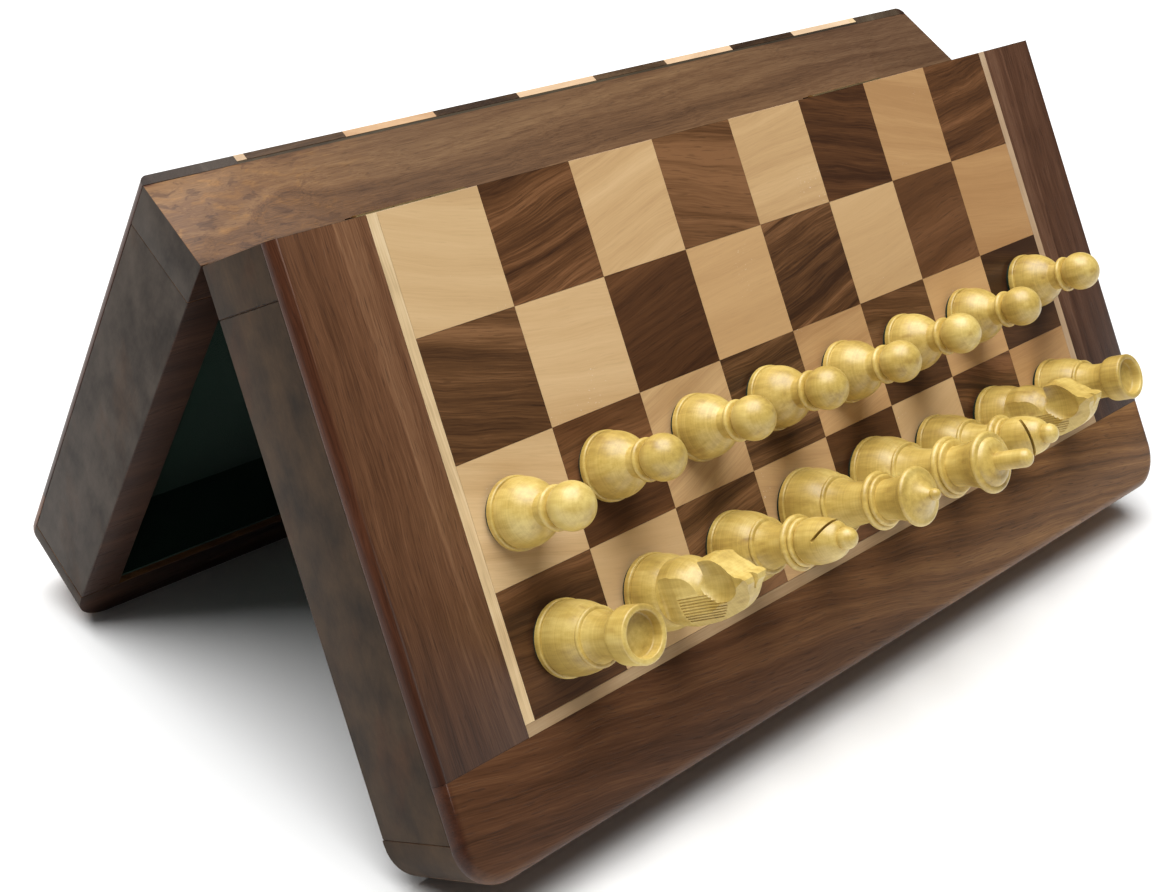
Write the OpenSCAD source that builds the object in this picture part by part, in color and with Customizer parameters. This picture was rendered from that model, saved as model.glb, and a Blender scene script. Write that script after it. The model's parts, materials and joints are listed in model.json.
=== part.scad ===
// Folding magnetic chess box: two trays hinged along one long side, standing open as a tent on
// the outer edges of their rims, with the light men on the front half's board face.
// The hinge runs along X. Each half is drawn lying on its rim in a frame of its own, with the
// hinge axis at its origin, -y away from the hinge and +z from the rim to the board face.
// Lengths are in millimetres.

/* [Box] */
// Length of the box along its hinge
box_l = 254; // [240:1:300]
// Width of one half, from the hinge axis to its outer edge
half_w = 127; // [120:1:150]
// Height of one half, from the hinge axis to the board face
half_h = 25; // [23:0.5:32]
// Angle between the two rims as the box stands
stand_angle = 57.6; // [40:0.1:80]
// Radius of the four outer corners
corner_r = 10; // [4:0.5:14]
// Rounding of the board face's outer edges
edge_r = 2.2; // [0.5:0.1:2.4]
// Gap that each half keeps from the plane it shares with the other
meet_gap = 0.15; // [0.1:0.05:0.3]

/* [Frame] */
// Thickness of the two end walls
wall_t = 10; // [8:0.5:14]
// Thickness of the rail that carries the hinges
hinge_rail_t = 11; // [10.5:0.5:14]
// Thickness of the rail opposite the hinges
outer_rail_t = 11; // [10:0.5:14]
// Thickness of the panel that closes the tray
panel_t = 3; // [2:0.5:5]
// Thickness of the felt that lines the tray
lining_t = 1; // [0.6:0.1:2]
// How far the lining stops short of the rim
lining_drop = 1.5; // [0.5:0.5:4]

/* [Board face] */
// Side of one square
square = 25.5; // [22:0.5:26]
// Width of the pale line round the squares
line_w = 2.5; // [1.5:0.5:4]
// Thickness of the border strips
border_t = 2.5; // [2.4:0.1:3.5]
// Thickness of the squares and of the pale line
tile_t = 1.7; // [1:0.1:1.9]
// Width of the hinge rail's lip that hides the steel sheet
lip_w = 2; // [1:0.5:4]
// Fine joint between neighbouring tiles and strips
joint = 0.06; // [0.04:0.01:0.1]

/* [Hinges] */
// Distance between the middles of the two hinges
hinge_pitch = 150; // [100:1:190]
// Length of a hinge's barrel
leaf_l = 30; // [24:1:40]
// Reach of a leaf from the hinge axis
leaf_w = 9; // [8:0.5:10]
// Thickness of a leaf
leaf_t = 1; // [0.8:0.1:1.4]
// Clearance round a leaf in its pocket
leaf_fit = 0.1; // [0.05:0.05:0.3]
// Radius of the barrel
barrel_r = 1.9; // [1.6:0.1:2.2]
// Clearance round the barrel in the rails
barrel_fit = 0.3; // [0.2:0.05:0.5]
// Gap between neighbouring knuckles
knuckle_gap = 0.2; // [0.1:0.05:0.4]
// Radius of a hinge pin
pin_r = 0.9; // [0.7:0.1:1]
// Running clearance of a pin in the barrel
pin_fit = 0.04; // [0.02:0.01:0.08]
// Radius of a pin's heads
pin_head_r = 1.4; // [1.2:0.1:1.6]
// Height of a pin's heads
pin_head_h = 0.8; // [0.5:0.1:1.2]
// Radius of a hinge screw's shank
screw_r = 0.9; // [0.7:0.1:1.1]
// Radius of a hinge screw's head
screw_head_r = 1.8; // [1.5:0.1:2]
// Length of a hinge screw
screw_l = 8; // [5:0.5:12]
// Clearance round a hinge screw
screw_fit = 0.03; // [0.02:0.01:0.05]
// Distance of the screws from the hinge axis
screw_off = 5.8; // [5:0.1:6]
// Distance between the two screws of a leaf
screw_pitch = 20; // [14:1:20]
// Width of a screw's slot
slot_w = 0.5; // [0.3:0.1:0.7]
// Depth of a screw's slot
slot_d = 0.4; // [0.2:0.1:0.6]

/* [Catch magnets] */
// Radius of a catch magnet
catch_r = 4; // [3:0.25:4.5]
// Height of a catch magnet
catch_h = 3; // [2:0.5:5]
// Distance between a half's two catch magnets
catch_pitch = 120; // [60:5:180]
// Clearance round a catch magnet
catch_fit = 0.05; // [0.02:0.01:0.1]
// How far a catch magnet sits below the rim
catch_sink = 0.1; // [0:0.05:0.5]

/* [Men, all] */
// Gap between a man's felt and its square
seat_gap = 0.1; // [0.05:0.05:0.3]
// Thickness of the felt under a man
foot_felt_h = 0.8; // [0.5:0.1:1.5]
// How far a man's felt stops short of its base's edge
foot_felt_inset = 0.5; // [0.2:0.1:1.5]
// Height of the straight band round a base
band_h = 1.6; // [1:0.1:2.5]
// Width of the groove above the band
groove_h = 0.5; // [0.3:0.1:0.8]
// Depth of the groove above the band
groove_d = 0.6; // [0.3:0.1:1]
// Radius of the magnet in a man's base
foot_magnet_r = 4; // [3:0.25:4.5]
// Height of the magnet in a man's base
foot_magnet_h = 2.5; // [1.5:0.5:3.5]
// Clearance round the magnet in a man's base
foot_magnet_fit = 0.05; // [0.03:0.01:0.1]
// Height of the bell above the groove, on a pawn
pawn_bell_h = 7.5; // [6:0.5:8]
// Height of the bell above the groove, on the other men
bell_h = 8; // [6:0.5:9]
// Height of the bead on top of a bell
bead_h = 1; // [0.6:0.1:1.6]
// How far a bead stands out from the foot of the stem above it
bead_proud = 0.7; // [0.4:0.1:1]

/* [Pawns] */
// Height of a pawn
pawn_h = 22.8; // [21:0.2:28]
// Radius of a pawn's base
pawn_r = 7.4; // [6.5:0.1:8.5]
// Radius of a pawn's neck
pawn_neck_r = 3.2; // [2.6:0.1:3.8]
// Radius of a pawn's collar
pawn_collar_r = 4.5; // [4:0.1:5.5]
// Height of a pawn's collar
pawn_collar_h = 1.3; // [0.8:0.1:1.8]
// Radius of a pawn's ball
pawn_ball_r = 4.8; // [4.2:0.1:5.2]

/* [Rooks] */
// Height of a rook
rook_h = 24.5; // [23:0.5:30]
// Radius of a rook's base
rook_r = 7.8; // [7:0.1:9]
// Radius of a rook's neck
rook_neck_r = 4.3; // [3.6:0.1:4.8]
// How far a rook's bead reaches beyond its neck
rook_bead_out = 1.5; // [1.2:0.1:2]
// Radius of a rook's cup
rook_cup_r = 5.7; // [5.2:0.1:7]
// Height of a rook's cup
rook_cup_h = 5; // [3:0.5:7]
// Wall of a rook's cup
rook_cup_wall = 1.3; // [0.8:0.1:1.8]
// Depth of the hollow in a rook's cup
rook_cup_d = 2.5; // [1:0.5:3]

/* [Knights] */
// Height of a knight
knight_h = 31; // [29:0.5:36]
// Radius of a knight's base
knight_r = 8.3; // [7.5:0.1:9.5]
// Radius of the horse's footing
knight_top_r = 6.8; // [6:0.1:7.4]
// Reach of the horse's nose from the middle
horse_reach = 7.2; // [6:0.1:8.5]
// Thickness of the horse's head
horse_head_t = 6.4; // [5:0.1:8]
// Thickness of the horse's neck at its foot
horse_neck_t = 10.5; // [8.5:0.5:12]

/* [Bishops] */
// Height of a bishop
bishop_h = 35.4; // [34:0.2:40]
// Radius of a bishop's base
bishop_r = 8.3; // [7.5:0.1:9.5]
// Radius of a bishop's neck
bishop_neck_r = 3.9; // [3.4:0.1:4.6]
// How far a bishop's bead reaches beyond its neck
bishop_bead_out = 1.9; // [1.5:0.1:2.4]
// Height of the middle of a bishop's collar above the square
bishop_collar_z = 20.2; // [19:0.2:22]
// Radius of a bishop's collar
bishop_collar_r = 5.9; // [5.2:0.1:6.8]
// Radius of a bishop's mitre
mitre_r = 4.9; // [4.4:0.1:5.6]
// Radius of the ball on a mitre
mitre_ball_r = 2.3; // [1.8:0.1:2.8]
// Width of the slit in a mitre
slit_w = 0.6; // [0.4:0.1:1.2]
// Depth of the slit from the middle of the mitre
slit_in = 0.8; // [0:0.2:2]
// Height of the slit's foot above the mitre's widest place
slit_rise = 0.8; // [0:0.2:3]
// Lean of the slit from upright
slit_lean = 40; // [25:5:55]

/* [Queen and king] */
// How far the bead of the queen and of the king reaches beyond the neck
royal_bead_out = 2.2; // [1.8:0.1:2.8]

/* [Queen] */
// Height of the queen
queen_h = 38.6; // [37:0.2:44]
// Radius of the queen's base
queen_r = 9.3; // [8.5:0.1:10.5]
// Radius of the queen's neck
queen_neck_r = 4.4; // [3.8:0.1:5]
// Height of the middle of the queen's collar above the square
queen_collar_z = 22.8; // [21:0.2:24]
// Radius of the queen's collar
queen_collar_r = 6.4; // [5.6:0.1:7.4]
// Height of the coronet above the square
queen_crown_z = 32; // [31:0.2:34]
// Radius of the coronet
queen_crown_r = 6.4; // [5.8:0.1:7.4]
// Radius of the ball on the coronet
queen_ball_r = 1.3; // [1:0.1:1.8]

/* [King] */
// Height of the king
king_h = 44.7; // [43:0.2:52]
// Radius of the king's base
king_r = 9.5; // [8.5:0.1:10.5]
// Radius of the king's neck
king_neck_r = 4.6; // [4:0.1:5.2]
// Height of the middle of the king's collar above the square
king_collar_z = 22.8; // [21:0.2:24]
// Radius of the king's collar
king_collar_r = 7; // [6:0.1:8]
// Height of the crown above the square
king_crown_z = 32.8; // [31.6:0.2:34]
// Radius of the crown
king_crown_r = 6.9; // [6:0.1:8]
// Radius of the peg on the crown
peg_r = 2.1; // [1.6:0.1:2.6]

/* [Collars] */
// Height of a collar's main ring
collar_h = 1.6; // [1.2:0.1:2]
// Height of the smaller ring on top of it
ring_h = 1.1; // [0.8:0.1:1.4]
// Height of the coronet's and the crown's rim
crown_h = 1.6; // [1.2:0.1:2]

/* [Hidden] */

$fn = 64;

// Colours, as the photograph shows them
rosewood = [0.33, 0.20, 0.14];
endgrain = [0.30, 0.25, 0.21];
dark_tile = [0.25, 0.15, 0.10];
light_tile = [0.82, 0.68, 0.48];
pale_line = [0.83, 0.70, 0.53];
green_felt = [0.04, 0.13, 0.08];
brass = [0.76, 0.60, 0.30];
steel = [0.60, 0.61, 0.63];
boxwood = [0.90, 0.80, 0.52];
plywood = [0.72, 0.58, 0.40];

// How far each half leans from upright, and where the hinge axis then lies
lean = stand_angle / 2;
hinge_z = half_w * cos(lean) - meet_gap * sin(lean);

// Heights inside one half, from the hinge axis towards the board face
frame_top = half_h - border_t;
sheet_t = border_t - tile_t;
tile_z = half_h - tile_t;
panel_z = frame_top - panel_t;

// The board's pattern: four rows on each half, eight squares along the hinge
columns = 8;
rows = 4;
field_x = columns / 2 * square;
field_y = rows * square;
line_x = field_x + line_w;
line_y = field_y + line_w;

// Where each man stands off the middle of its square, in hundredths of the square's side, toward
// +x and away from the hinge
pawn_shift = [[-12, 0], [-11, -5.5], [-3.5, -5], [-8, -3], [-5, 2], [-10.5, 1], [-8, 1], [5, -7]];
officer_shift = [[-3, 3.5], [-3.5, 4], [-3.5, 2], [-5, 0], [-4, 3], [-8, 6], [-10, 5.5], [-3.5, 5]];
pawn_row = 2;
officer_row = 3;
king_file = 4;

// How far each bishop is turned about its own axis, which shows where its slit faces
bishop_c_turn = 90;
bishop_f_turn = 185;

// The part's origin is under the middle of its outline: the front reaches to the tip of the
// king's peg, and the back to the rounded edge of the back half's face
king_v = (officer_row + 0.5 + officer_shift[king_file][1] / 100) * square;
king_tip = half_h + seat_gap + king_h - peg_r;
front_reach = king_v * sin(lean) + king_tip * cos(lean) + peg_r;
back_reach = (half_w - edge_r) * sin(lean) + (half_h - edge_r) * cos(lean) + edge_r;
hinge_y = (front_reach - back_reach) / 2;

// ---------------------------------------------------------------- placing

module front() {
    translate([0, hinge_y, hinge_z])
        rotate([90 - lean, 0, 0])
            children();
}

module back() {
    translate([0, hinge_y, hinge_z])
        rotate([0, 0, 180])
            rotate([90 - lean, 0, 0])
                children();
}

// A block in a half's frame, from v0 to v1 away from the hinge
module block(x, v, z) {
    translate([x[0], -v[1], z[0]])
        cube([x[1] - x[0], v[1] - v[0], z[1] - z[0]]);
}

// A man's place on the front half
module on_square(file, row, shift, turn = 0) {
    x = (file + 0.5 + shift[0] / 100) * square - field_x;
    v = (row + 0.5 + shift[1] / 100) * square;
    front()
        translate([x, -v, half_h + seat_gap])
            rotate([0, 0, turn])
                children();
}

// ---------------------------------------------------------------- one half's frame

// The half's outline from the rim's side, drawn in by inset on its three outer sides
module outline(inset = 0) {
    r = corner_r - inset;
    x = box_l / 2 - inset;
    y = half_w - inset;
    translate([-x, -y + r])
        square([2 * x, y - r - meet_gap]);
    translate([-x + r, -y])
        square([2 * (x - r), r + corner_r]);
    for (s = [-1, 1])
        translate([s * (x - r), -y + r])
            circle(r);
}

module frame_blank() {
    translate([0, 0, meet_gap])
        linear_extrude(frame_top - meet_gap)
            outline();
}

module outer_rail() {
    color(rosewood)
        difference() {
            intersection() {
                frame_blank();
                block([-box_l, box_l], [half_w - outer_rail_t, half_w + 1], [0, half_h]);
            }
            at_catches()
                translate([0, 0, meet_gap - 1])
                    cylinder(r = catch_r + catch_fit, h = catch_h + catch_sink + 1);
        }
}

module end_walls() {
    color(endgrain)
        for (s = [-1, 1])
            intersection() {
                frame_blank();
                block([s * (box_l - wall_t) / 2 - wall_t / 2, s * (box_l - wall_t) / 2 + wall_t / 2],
                    [hinge_rail_t, half_w - outer_rail_t], [0, half_h]);
            }
}

module hinge_rail() {
    color(rosewood)
        difference() {
            union() {
                block([-box_l / 2, box_l / 2], [meet_gap, hinge_rail_t], [meet_gap, frame_top]);
                block([-line_x, line_x], [meet_gap, lip_w], [meet_gap, tile_z]);
            }
            at_hinges() {
                barrel_notch();
                leaf_pocket();
                at_screws()
                    cylinder(r = screw_r + screw_fit, h = screw_l + 1);
            }
        }
}

module panel() {
    color(plywood)
        block([-tray_x(), tray_x()], [hinge_rail_t, half_w - outer_rail_t], [panel_z, frame_top]);
}

function tray_x() = box_l / 2 - wall_t;

module lining() {
    color(green_felt)
        difference() {
            block([-tray_x(), tray_x()], [hinge_rail_t, half_w - outer_rail_t],
                [meet_gap + lining_drop, panel_z]);
            block([-tray_x() + lining_t, tray_x() - lining_t],
                [hinge_rail_t + lining_t, half_w - outer_rail_t - lining_t],
                [0, panel_z - lining_t]);
        }
}

// ---------------------------------------------------------------- one half's board face

module steel_sheet() {
    color(steel)
        block([-line_x, line_x], [lip_w, line_y], [frame_top, tile_z]);
}

// The squares of one colour: dark ones have an odd sum of file and row
module squares(odd) {
    for (file = [0 : columns - 1])
        for (row = [0 : rows - 1])
            if ((file + row) % 2 == odd)
                block([file * square - field_x + joint / 2, (file + 1) * square - field_x - joint / 2],
                    [max(row * square + joint / 2, meet_gap), (row + 1) * square - joint / 2],
                    [tile_z, half_h]);
}

module dark_squares() {
    color(dark_tile)
        squares(1);
}

module light_squares() {
    color(light_tile)
        squares(0);
}

module pale_lines() {
    color(pale_line) {
        for (s = [-1, 1])
            block([s * (line_x + field_x) / 2 - line_w / 2 + joint / 2,
                    s * (line_x + field_x) / 2 + line_w / 2 - joint / 2],
                [meet_gap, field_y], [tile_z, half_h]);
        block([-line_x + joint / 2, line_x - joint / 2],
            [field_y + joint, line_y - joint / 2], [tile_z, half_h]);
    }
}

// Cross-section of a border strip of width w: x from its inner edge, y its height in the half
module strip_section(w) {
    polygon(concat(
        [[0, frame_top], [w, frame_top]],
        arc(w - edge_r, half_h - edge_r, edge_r, 0, 90, 6),
        [[0, half_h]]
    ));
}

// A run of border along an end of the half, w wide, from v0 to v1 away from the hinge
module end_run(w, v0, v1) {
    translate([box_l / 2 - w, -v0, 0])
        rotate([90, 0, 0])
            linear_extrude(v1 - v0)
                strip_section(w);
}

module side_strip() {
    end_run(box_l / 2 - line_x, meet_gap, line_y - joint);
}

// The full-length strip: a straight run, and at each end a short run and a rounded corner
module outer_strip() {
    x = box_l / 2 - corner_r;
    y = half_w - corner_r;
    translate([x, -line_y, 0])
        rotate([90, 0, -90])
            linear_extrude(2 * x)
                strip_section(half_w - line_y);
    for (s = [0, 1])
        mirror([s, 0, 0]) {
            end_run(corner_r, line_y, y);
            intersection() {
                translate([x, -y, 0])
                    rotate_extrude()
                        strip_section(corner_r);
                block([x, box_l], [y, half_w + 1], [0, half_h + 1]);
            }
        }
}

module border_strips() {
    color(rosewood) {
        side_strip();
        mirror([1, 0, 0])
            side_strip();
        outer_strip();
    }
}

// ---------------------------------------------------------------- catch magnets

module at_catches() {
    for (s = [-1, 1])
        translate([s * catch_pitch / 2, -half_w + outer_rail_t / 2, 0])
            children();
}

module catch_magnets() {
    color(steel)
        at_catches()
            translate([0, 0, meet_gap + catch_sink])
                cylinder(r = catch_r, h = catch_h);
}

// ---------------------------------------------------------------- hinges

module at_hinges() {
    for (s = [-1, 1])
        translate([s * hinge_pitch / 2, 0, 0])
            children();
}

module at_screws() {
    for (s = [-1, 1])
        translate([s * screw_pitch / 2, -screw_off, meet_gap])
            children();
}

// A rod of radius r round the hinge axis, from x0 to x1
module axis_rod(r, x0, x1) {
    translate([x0, 0, 0])
        rotate([0, 90, 0])
            cylinder(r = r, h = x1 - x0);
}

module barrel_notch() {
    reach = leaf_l / 2 + pin_head_h + 2 * knuckle_gap;
    axis_rod(barrel_r + barrel_fit, -reach, reach);
}

module leaf_pocket() {
    x = leaf_l / 2 + leaf_fit;
    block([-x, x], [0, leaf_w + leaf_fit], [-1, meet_gap + leaf_t]);
}

// A leaf whose knuckles take the given thirds of the barrel
module leaf(thirds) {
    plate_v = barrel_r + barrel_fit;
    third = leaf_l / 3;
    difference() {
        union() {
            block([-leaf_l / 2, leaf_l / 2], [plate_v, leaf_w], [meet_gap, meet_gap + leaf_t]);
            for (k = thirds) {
                x0 = (k - 1.5) * third + knuckle_gap / 2;
                x1 = (k - 0.5) * third - knuckle_gap / 2;
                axis_rod(barrel_r, x0, x1);
                block([x0, x1], [0, plate_v + 0.5], [meet_gap, meet_gap + leaf_t]);
            }
        }
        axis_rod(pin_r + pin_fit, -leaf_l, leaf_l);
        at_screws()
            screw_solid(screw_fit);
    }
}

// A countersunk screw driven in from the rim, or the hole for it
module screw_solid(fit) {
    sink = screw_head_r - screw_r;
    translate([0, 0, fit > 0 ? -1 : 0])
        cylinder(r = screw_head_r + fit, h = fit > 0 ? 1.001 : 0.001);
    cylinder(r1 = screw_head_r + fit, r2 = screw_r + fit, h = sink);
    cylinder(r = screw_r + fit, h = screw_l);
}

module front_leaves() {
    color(brass)
        at_hinges()
            leaf([0, 2]);
}

module back_leaves() {
    color(brass)
        at_hinges()
            leaf([1]);
}

module leaf_screws() {
    color(brass)
        at_hinges()
            at_screws()
                difference() {
                    screw_solid(0);
                    translate([-screw_head_r, -slot_w / 2, -1])
                        cube([2 * screw_head_r, slot_w, 1 + slot_d]);
                }
}

module pins() {
    end = leaf_l / 2 + knuckle_gap / 4;
    color(brass)
        at_hinges() {
            axis_rod(pin_r, -end, end);
            axis_rod(pin_head_r, end, end + pin_head_h);
            axis_rod(pin_head_r, -end - pin_head_h, -end);
        }
}

// ---------------------------------------------------------------- turned men

// Points on an arc round [cr, cz], from angle a0 to angle a1
function arc(cr, cz, r, a0, a1, n = 8) =
    [for (i = [0 : n]) let (a = a0 + (a1 - a0) * i / n) [cr + r * cos(a), cz + r * sin(a)]];

// Points on a curve from a to b that is drawn towards c
function bow(a, c, b, n = 7) =
    [for (i = [0 : n]) let (t = i / n) (1 - t) * (1 - t) * a + 2 * t * (1 - t) * c + t * t * b];

// A man's base in radius and height: band, groove and bell, up to a bell top of radius top_r
function foot(r, top_r, high) = let (
        z0 = foot_felt_h,
        z1 = z0 + band_h,
        z2 = z1 + groove_h,
        ease = band_h / 4
    ) concat(
        [[0, z0], [r - ease, z0], [r, z0 + ease], [r, z1 - ease], [r - ease, z1]],
        [[r - groove_d, z1], [r - groove_d, z2]],
        bow([r - ease, z2], [r - ease / 2, z2 + high * 0.6], [top_r, z2 + high])
    );

function bell_top(high) = foot_felt_h + band_h + groove_h + high;

// A rounded bead of height h that stands proud of radius r at height z
function bead(r, z, h) = arc(r - h / 4, z + h / 2, h / 2, -90, 90, 6);

// A collar of radius r with its middle at height z: a main ring and a smaller one on top
function collar(r, z) = concat(
        [[r - collar_h / 2, z - collar_h / 2]],
        arc(r - collar_h / 2, z, collar_h / 2, -90, 90, 6),
        arc(r - collar_h / 2 - ring_h / 2, z + collar_h / 2 + ring_h / 2, ring_h / 2, -90, 90, 6)
    );

function collar_top(z) = z + collar_h / 2 + ring_h;

// A stem from the bell's bead up to height z, hollowed to the neck's radius
function stem(r0, z0, neck_r, z) =
    bow([r0, z0], [neck_r, z0 + (z - z0) * 0.35], [neck_r, z]);

module turned(points) {
    difference() {
        rotate_extrude()
            polygon(points);
        translate([0, 0, foot_felt_h - 1])
            cylinder(r = foot_magnet_r + foot_magnet_fit, h = 1 + foot_magnet_h + 2 * foot_magnet_fit);
    }
}

// The felt under a man and the magnet above it
module man_base(r) {
    color(green_felt) {
        cylinder(r = r - foot_felt_inset, h = foot_felt_h);
        translate([0, 0, foot_felt_h + foot_magnet_fit])
            cylinder(r = foot_magnet_r, h = foot_magnet_h);
    }
}

module pawn() {
    bell_z = bell_top(pawn_bell_h);
    ball_z = pawn_h - pawn_ball_r;
    // The collar's top is where the ball has narrowed to six tenths of its radius
    rim_z = ball_z - 0.8 * pawn_ball_r;
    color(boxwood)
        turned(concat(
            foot(pawn_r, pawn_neck_r + 0.3, pawn_bell_h),
            [[pawn_neck_r, max(bell_z + 0.4, rim_z - pawn_collar_h - 0.8)]],
            [[pawn_neck_r, max(bell_z + 0.6, rim_z - pawn_collar_h)]],
            arc(pawn_collar_r - pawn_collar_h / 2, rim_z - pawn_collar_h / 2, pawn_collar_h / 2,
                -90, 90, 6),
            arc(0, ball_z, pawn_ball_r, -asin(0.8), 90, 14)
        ));
}

module rook() {
    bell_z = bell_top(bell_h);
    cup_z = rook_h - rook_cup_h;
    bead_r = rook_neck_r + rook_bead_out;
    color(boxwood)
        turned(concat(
            foot(rook_r, bead_r, bell_h),
            bead(bead_r, bell_z, bead_h),
            bow([bead_r - bead_proud, bell_z + bead_h], [rook_neck_r - 0.4, (bell_z + cup_z) / 2],
                [rook_neck_r + 0.4, cup_z - 1]),
            bow([rook_neck_r + 0.4, cup_z - 1], [rook_cup_r, cup_z - 0.6], [rook_cup_r, cup_z + 1]),
            [[rook_cup_r, rook_h - 0.4], [rook_cup_r - 0.4, rook_h]],
            [[rook_cup_r - rook_cup_wall + 0.3, rook_h], [rook_cup_r - rook_cup_wall, rook_h - 0.3]],
            [[rook_cup_r - rook_cup_wall, rook_h - rook_cup_d + 0.4]],
            [[rook_cup_r - rook_cup_wall - 0.4, rook_h - rook_cup_d], [0, rook_h - rook_cup_d]]
        ));
}

// The horse's side view, as shares of its reach towards the nose and of its height
horse_side = [[0.72, 0], [0.80, 0.13], [0.66, 0.27], [0.34, 0.36], [0.42, 0.43],
    [0.76, 0.44], [0.95, 0.49], [1.00, 0.60], [0.66, 0.84], [0.52, 0.88], [0.34, 1.00],
    [0.04, 0.93], [-0.32, 0.88], [-0.66, 0.73], [-0.86, 0.50], [-0.92, 0.24], [-0.86, 0]];

// The horse alone, on z = 0, with its nose towards +y
module horse(h) {
    intersection() {
        rotate([90, 0, 90])
            linear_extrude(2 * horse_neck_t, center = true)
                polygon([for (p = horse_side) [p[0] * horse_reach, p[1] * h]]);
        rotate([90, 0, 0])
            linear_extrude(4 * horse_reach, center = true)
                polygon([[-horse_neck_t / 2, 0], [horse_neck_t / 2, 0],
                    [horse_head_t / 2, 0.42 * h], [horse_head_t * 0.46, h],
                    [-horse_head_t * 0.46, h], [-horse_head_t / 2, 0.42 * h]]);
        cylinder(r = horse_reach + 0.3, h = h);
    }
}

module knight() {
    horse_z = bell_top(bell_h) - 2;
    color(boxwood) {
        turned(concat(
            foot(knight_r, knight_top_r, bell_h - 2),
            [[0, horse_z]]
        ));
        translate([0, 0, horse_z - 0.5])
            horse(knight_h - horse_z + 0.5);
    }
}

module bishop() {
    bell_z = bell_top(bell_h);
    mitre_z = collar_top(bishop_collar_z);
    ball_z = bishop_h - mitre_ball_r;
    wide_z = mitre_z + (ball_z - mitre_z) * 0.3;
    bead_r = bishop_neck_r + bishop_bead_out;
    color(boxwood)
        difference() {
            turned(concat(
                foot(bishop_r, bead_r, bell_h),
                bead(bead_r, bell_z, bead_h),
                stem(bead_r - bead_proud, bell_z + bead_h, bishop_neck_r,
                    bishop_collar_z - collar_h / 2),
                collar(bishop_collar_r, bishop_collar_z),
                bow([mitre_r - 0.9, mitre_z], [mitre_r, mitre_z + 0.6], [mitre_r, wide_z]),
                bow([mitre_r, wide_z], [mitre_r * 0.92, ball_z - 1.6],
                    [mitre_ball_r * 0.92, ball_z - mitre_ball_r * 0.4]),
                arc(0, ball_z, mitre_ball_r, -asin(0.4), 90, 9)
            ));
            translate([0, 0, wide_z + slit_rise])
                rotate([0, slit_lean, 0])
                    translate([-slit_w / 2, -mitre_r - 1, slit_in])
                        cube([slit_w, 2 * mitre_r + 2, 2 * mitre_r]);
        }
}

module queen() {
    bell_z = bell_top(bell_h);
    flare_z = collar_top(queen_collar_z);
    rim_z = queen_crown_z + crown_h;
    ball_z = queen_h - queen_ball_r;
    bead_r = queen_neck_r + royal_bead_out;
    color(boxwood)
        turned(concat(
            foot(queen_r, bead_r, bell_h),
            bead(bead_r, bell_z, bead_h),
            stem(bead_r - bead_proud, bell_z + bead_h, queen_neck_r, queen_collar_z - collar_h / 2),
            collar(queen_collar_r, queen_collar_z),
            bow([queen_neck_r, flare_z], [queen_neck_r, (flare_z + queen_crown_z) / 2],
                [queen_crown_r - 0.7, queen_crown_z]),
            arc(queen_crown_r - crown_h / 2, queen_crown_z + crown_h / 2, crown_h / 2, -90, 90, 6),
            bow([queen_crown_r - 1.4, rim_z], [queen_ball_r + 1.4, rim_z + 1],
                [queen_ball_r * 0.8, ball_z - queen_ball_r * 0.6]),
            arc(0, ball_z, queen_ball_r, -asin(0.6), 90, 8)
        ));
}

module king() {
    bell_z = bell_top(bell_h);
    flare_z = collar_top(king_collar_z);
    rim_z = king_crown_z + crown_h;
    bead_r = king_neck_r + royal_bead_out;
    color(boxwood)
        turned(concat(
            foot(king_r, bead_r, bell_h),
            bead(bead_r, bell_z, bead_h),
            stem(bead_r - bead_proud, bell_z + bead_h, king_neck_r, king_collar_z - collar_h / 2),
            collar(king_collar_r, king_collar_z),
            bow([king_neck_r, flare_z], [king_neck_r, (flare_z + king_crown_z) / 2],
                [king_crown_r - 0.7, king_crown_z]),
            arc(king_crown_r - crown_h / 2, king_crown_z + crown_h / 2, crown_h / 2, -90, 90, 6),
            bow([king_crown_r - 1.4, rim_z], [king_crown_r - 2, rim_z + 1.2], [peg_r + 1, rim_z + 1.2], 5),
            [[peg_r, rim_z + 1.6]],
            arc(0, king_h - peg_r, peg_r, 0, 90, 8)
        ));
}

// ---------------------------------------------------------------- the nodes

module front_outer_rail() front() outer_rail();
module front_hinge_rail() front() hinge_rail();
module front_end_walls() front() end_walls();
module front_panel() front() panel();
module front_lining() front() lining();
module front_steel_sheet() front() steel_sheet();
module front_dark_squares() front() dark_squares();
module front_light_squares() front() light_squares();
module front_pale_line() front() pale_lines();
module front_border_strips() front() border_strips();
module front_catch_magnets() front() catch_magnets();
module front_hinge_leaves() front() front_leaves();
module front_hinge_screws() front() leaf_screws();
module hinge_pins() front() pins();
module back_outer_rail() back() outer_rail();
module back_hinge_rail() back() hinge_rail();
module back_end_walls() back() end_walls();
module back_panel() back() panel();
module back_lining() back() lining();
module back_steel_sheet() back() steel_sheet();
module back_dark_squares() back() dark_squares();
module back_light_squares() back() light_squares();
module back_pale_line() back() pale_lines();
module back_border_strips() back() border_strips();
module back_catch_magnets() back() catch_magnets();
module back_hinge_leaves() back() back_leaves();
module back_hinge_screws() back() leaf_screws();

module on_pawn_square(file) on_square(file, pawn_row, pawn_shift[file]) children();
module on_officer_square(file, turn = 0) on_square(file, officer_row, officer_shift[file], turn)
    children();

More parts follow.
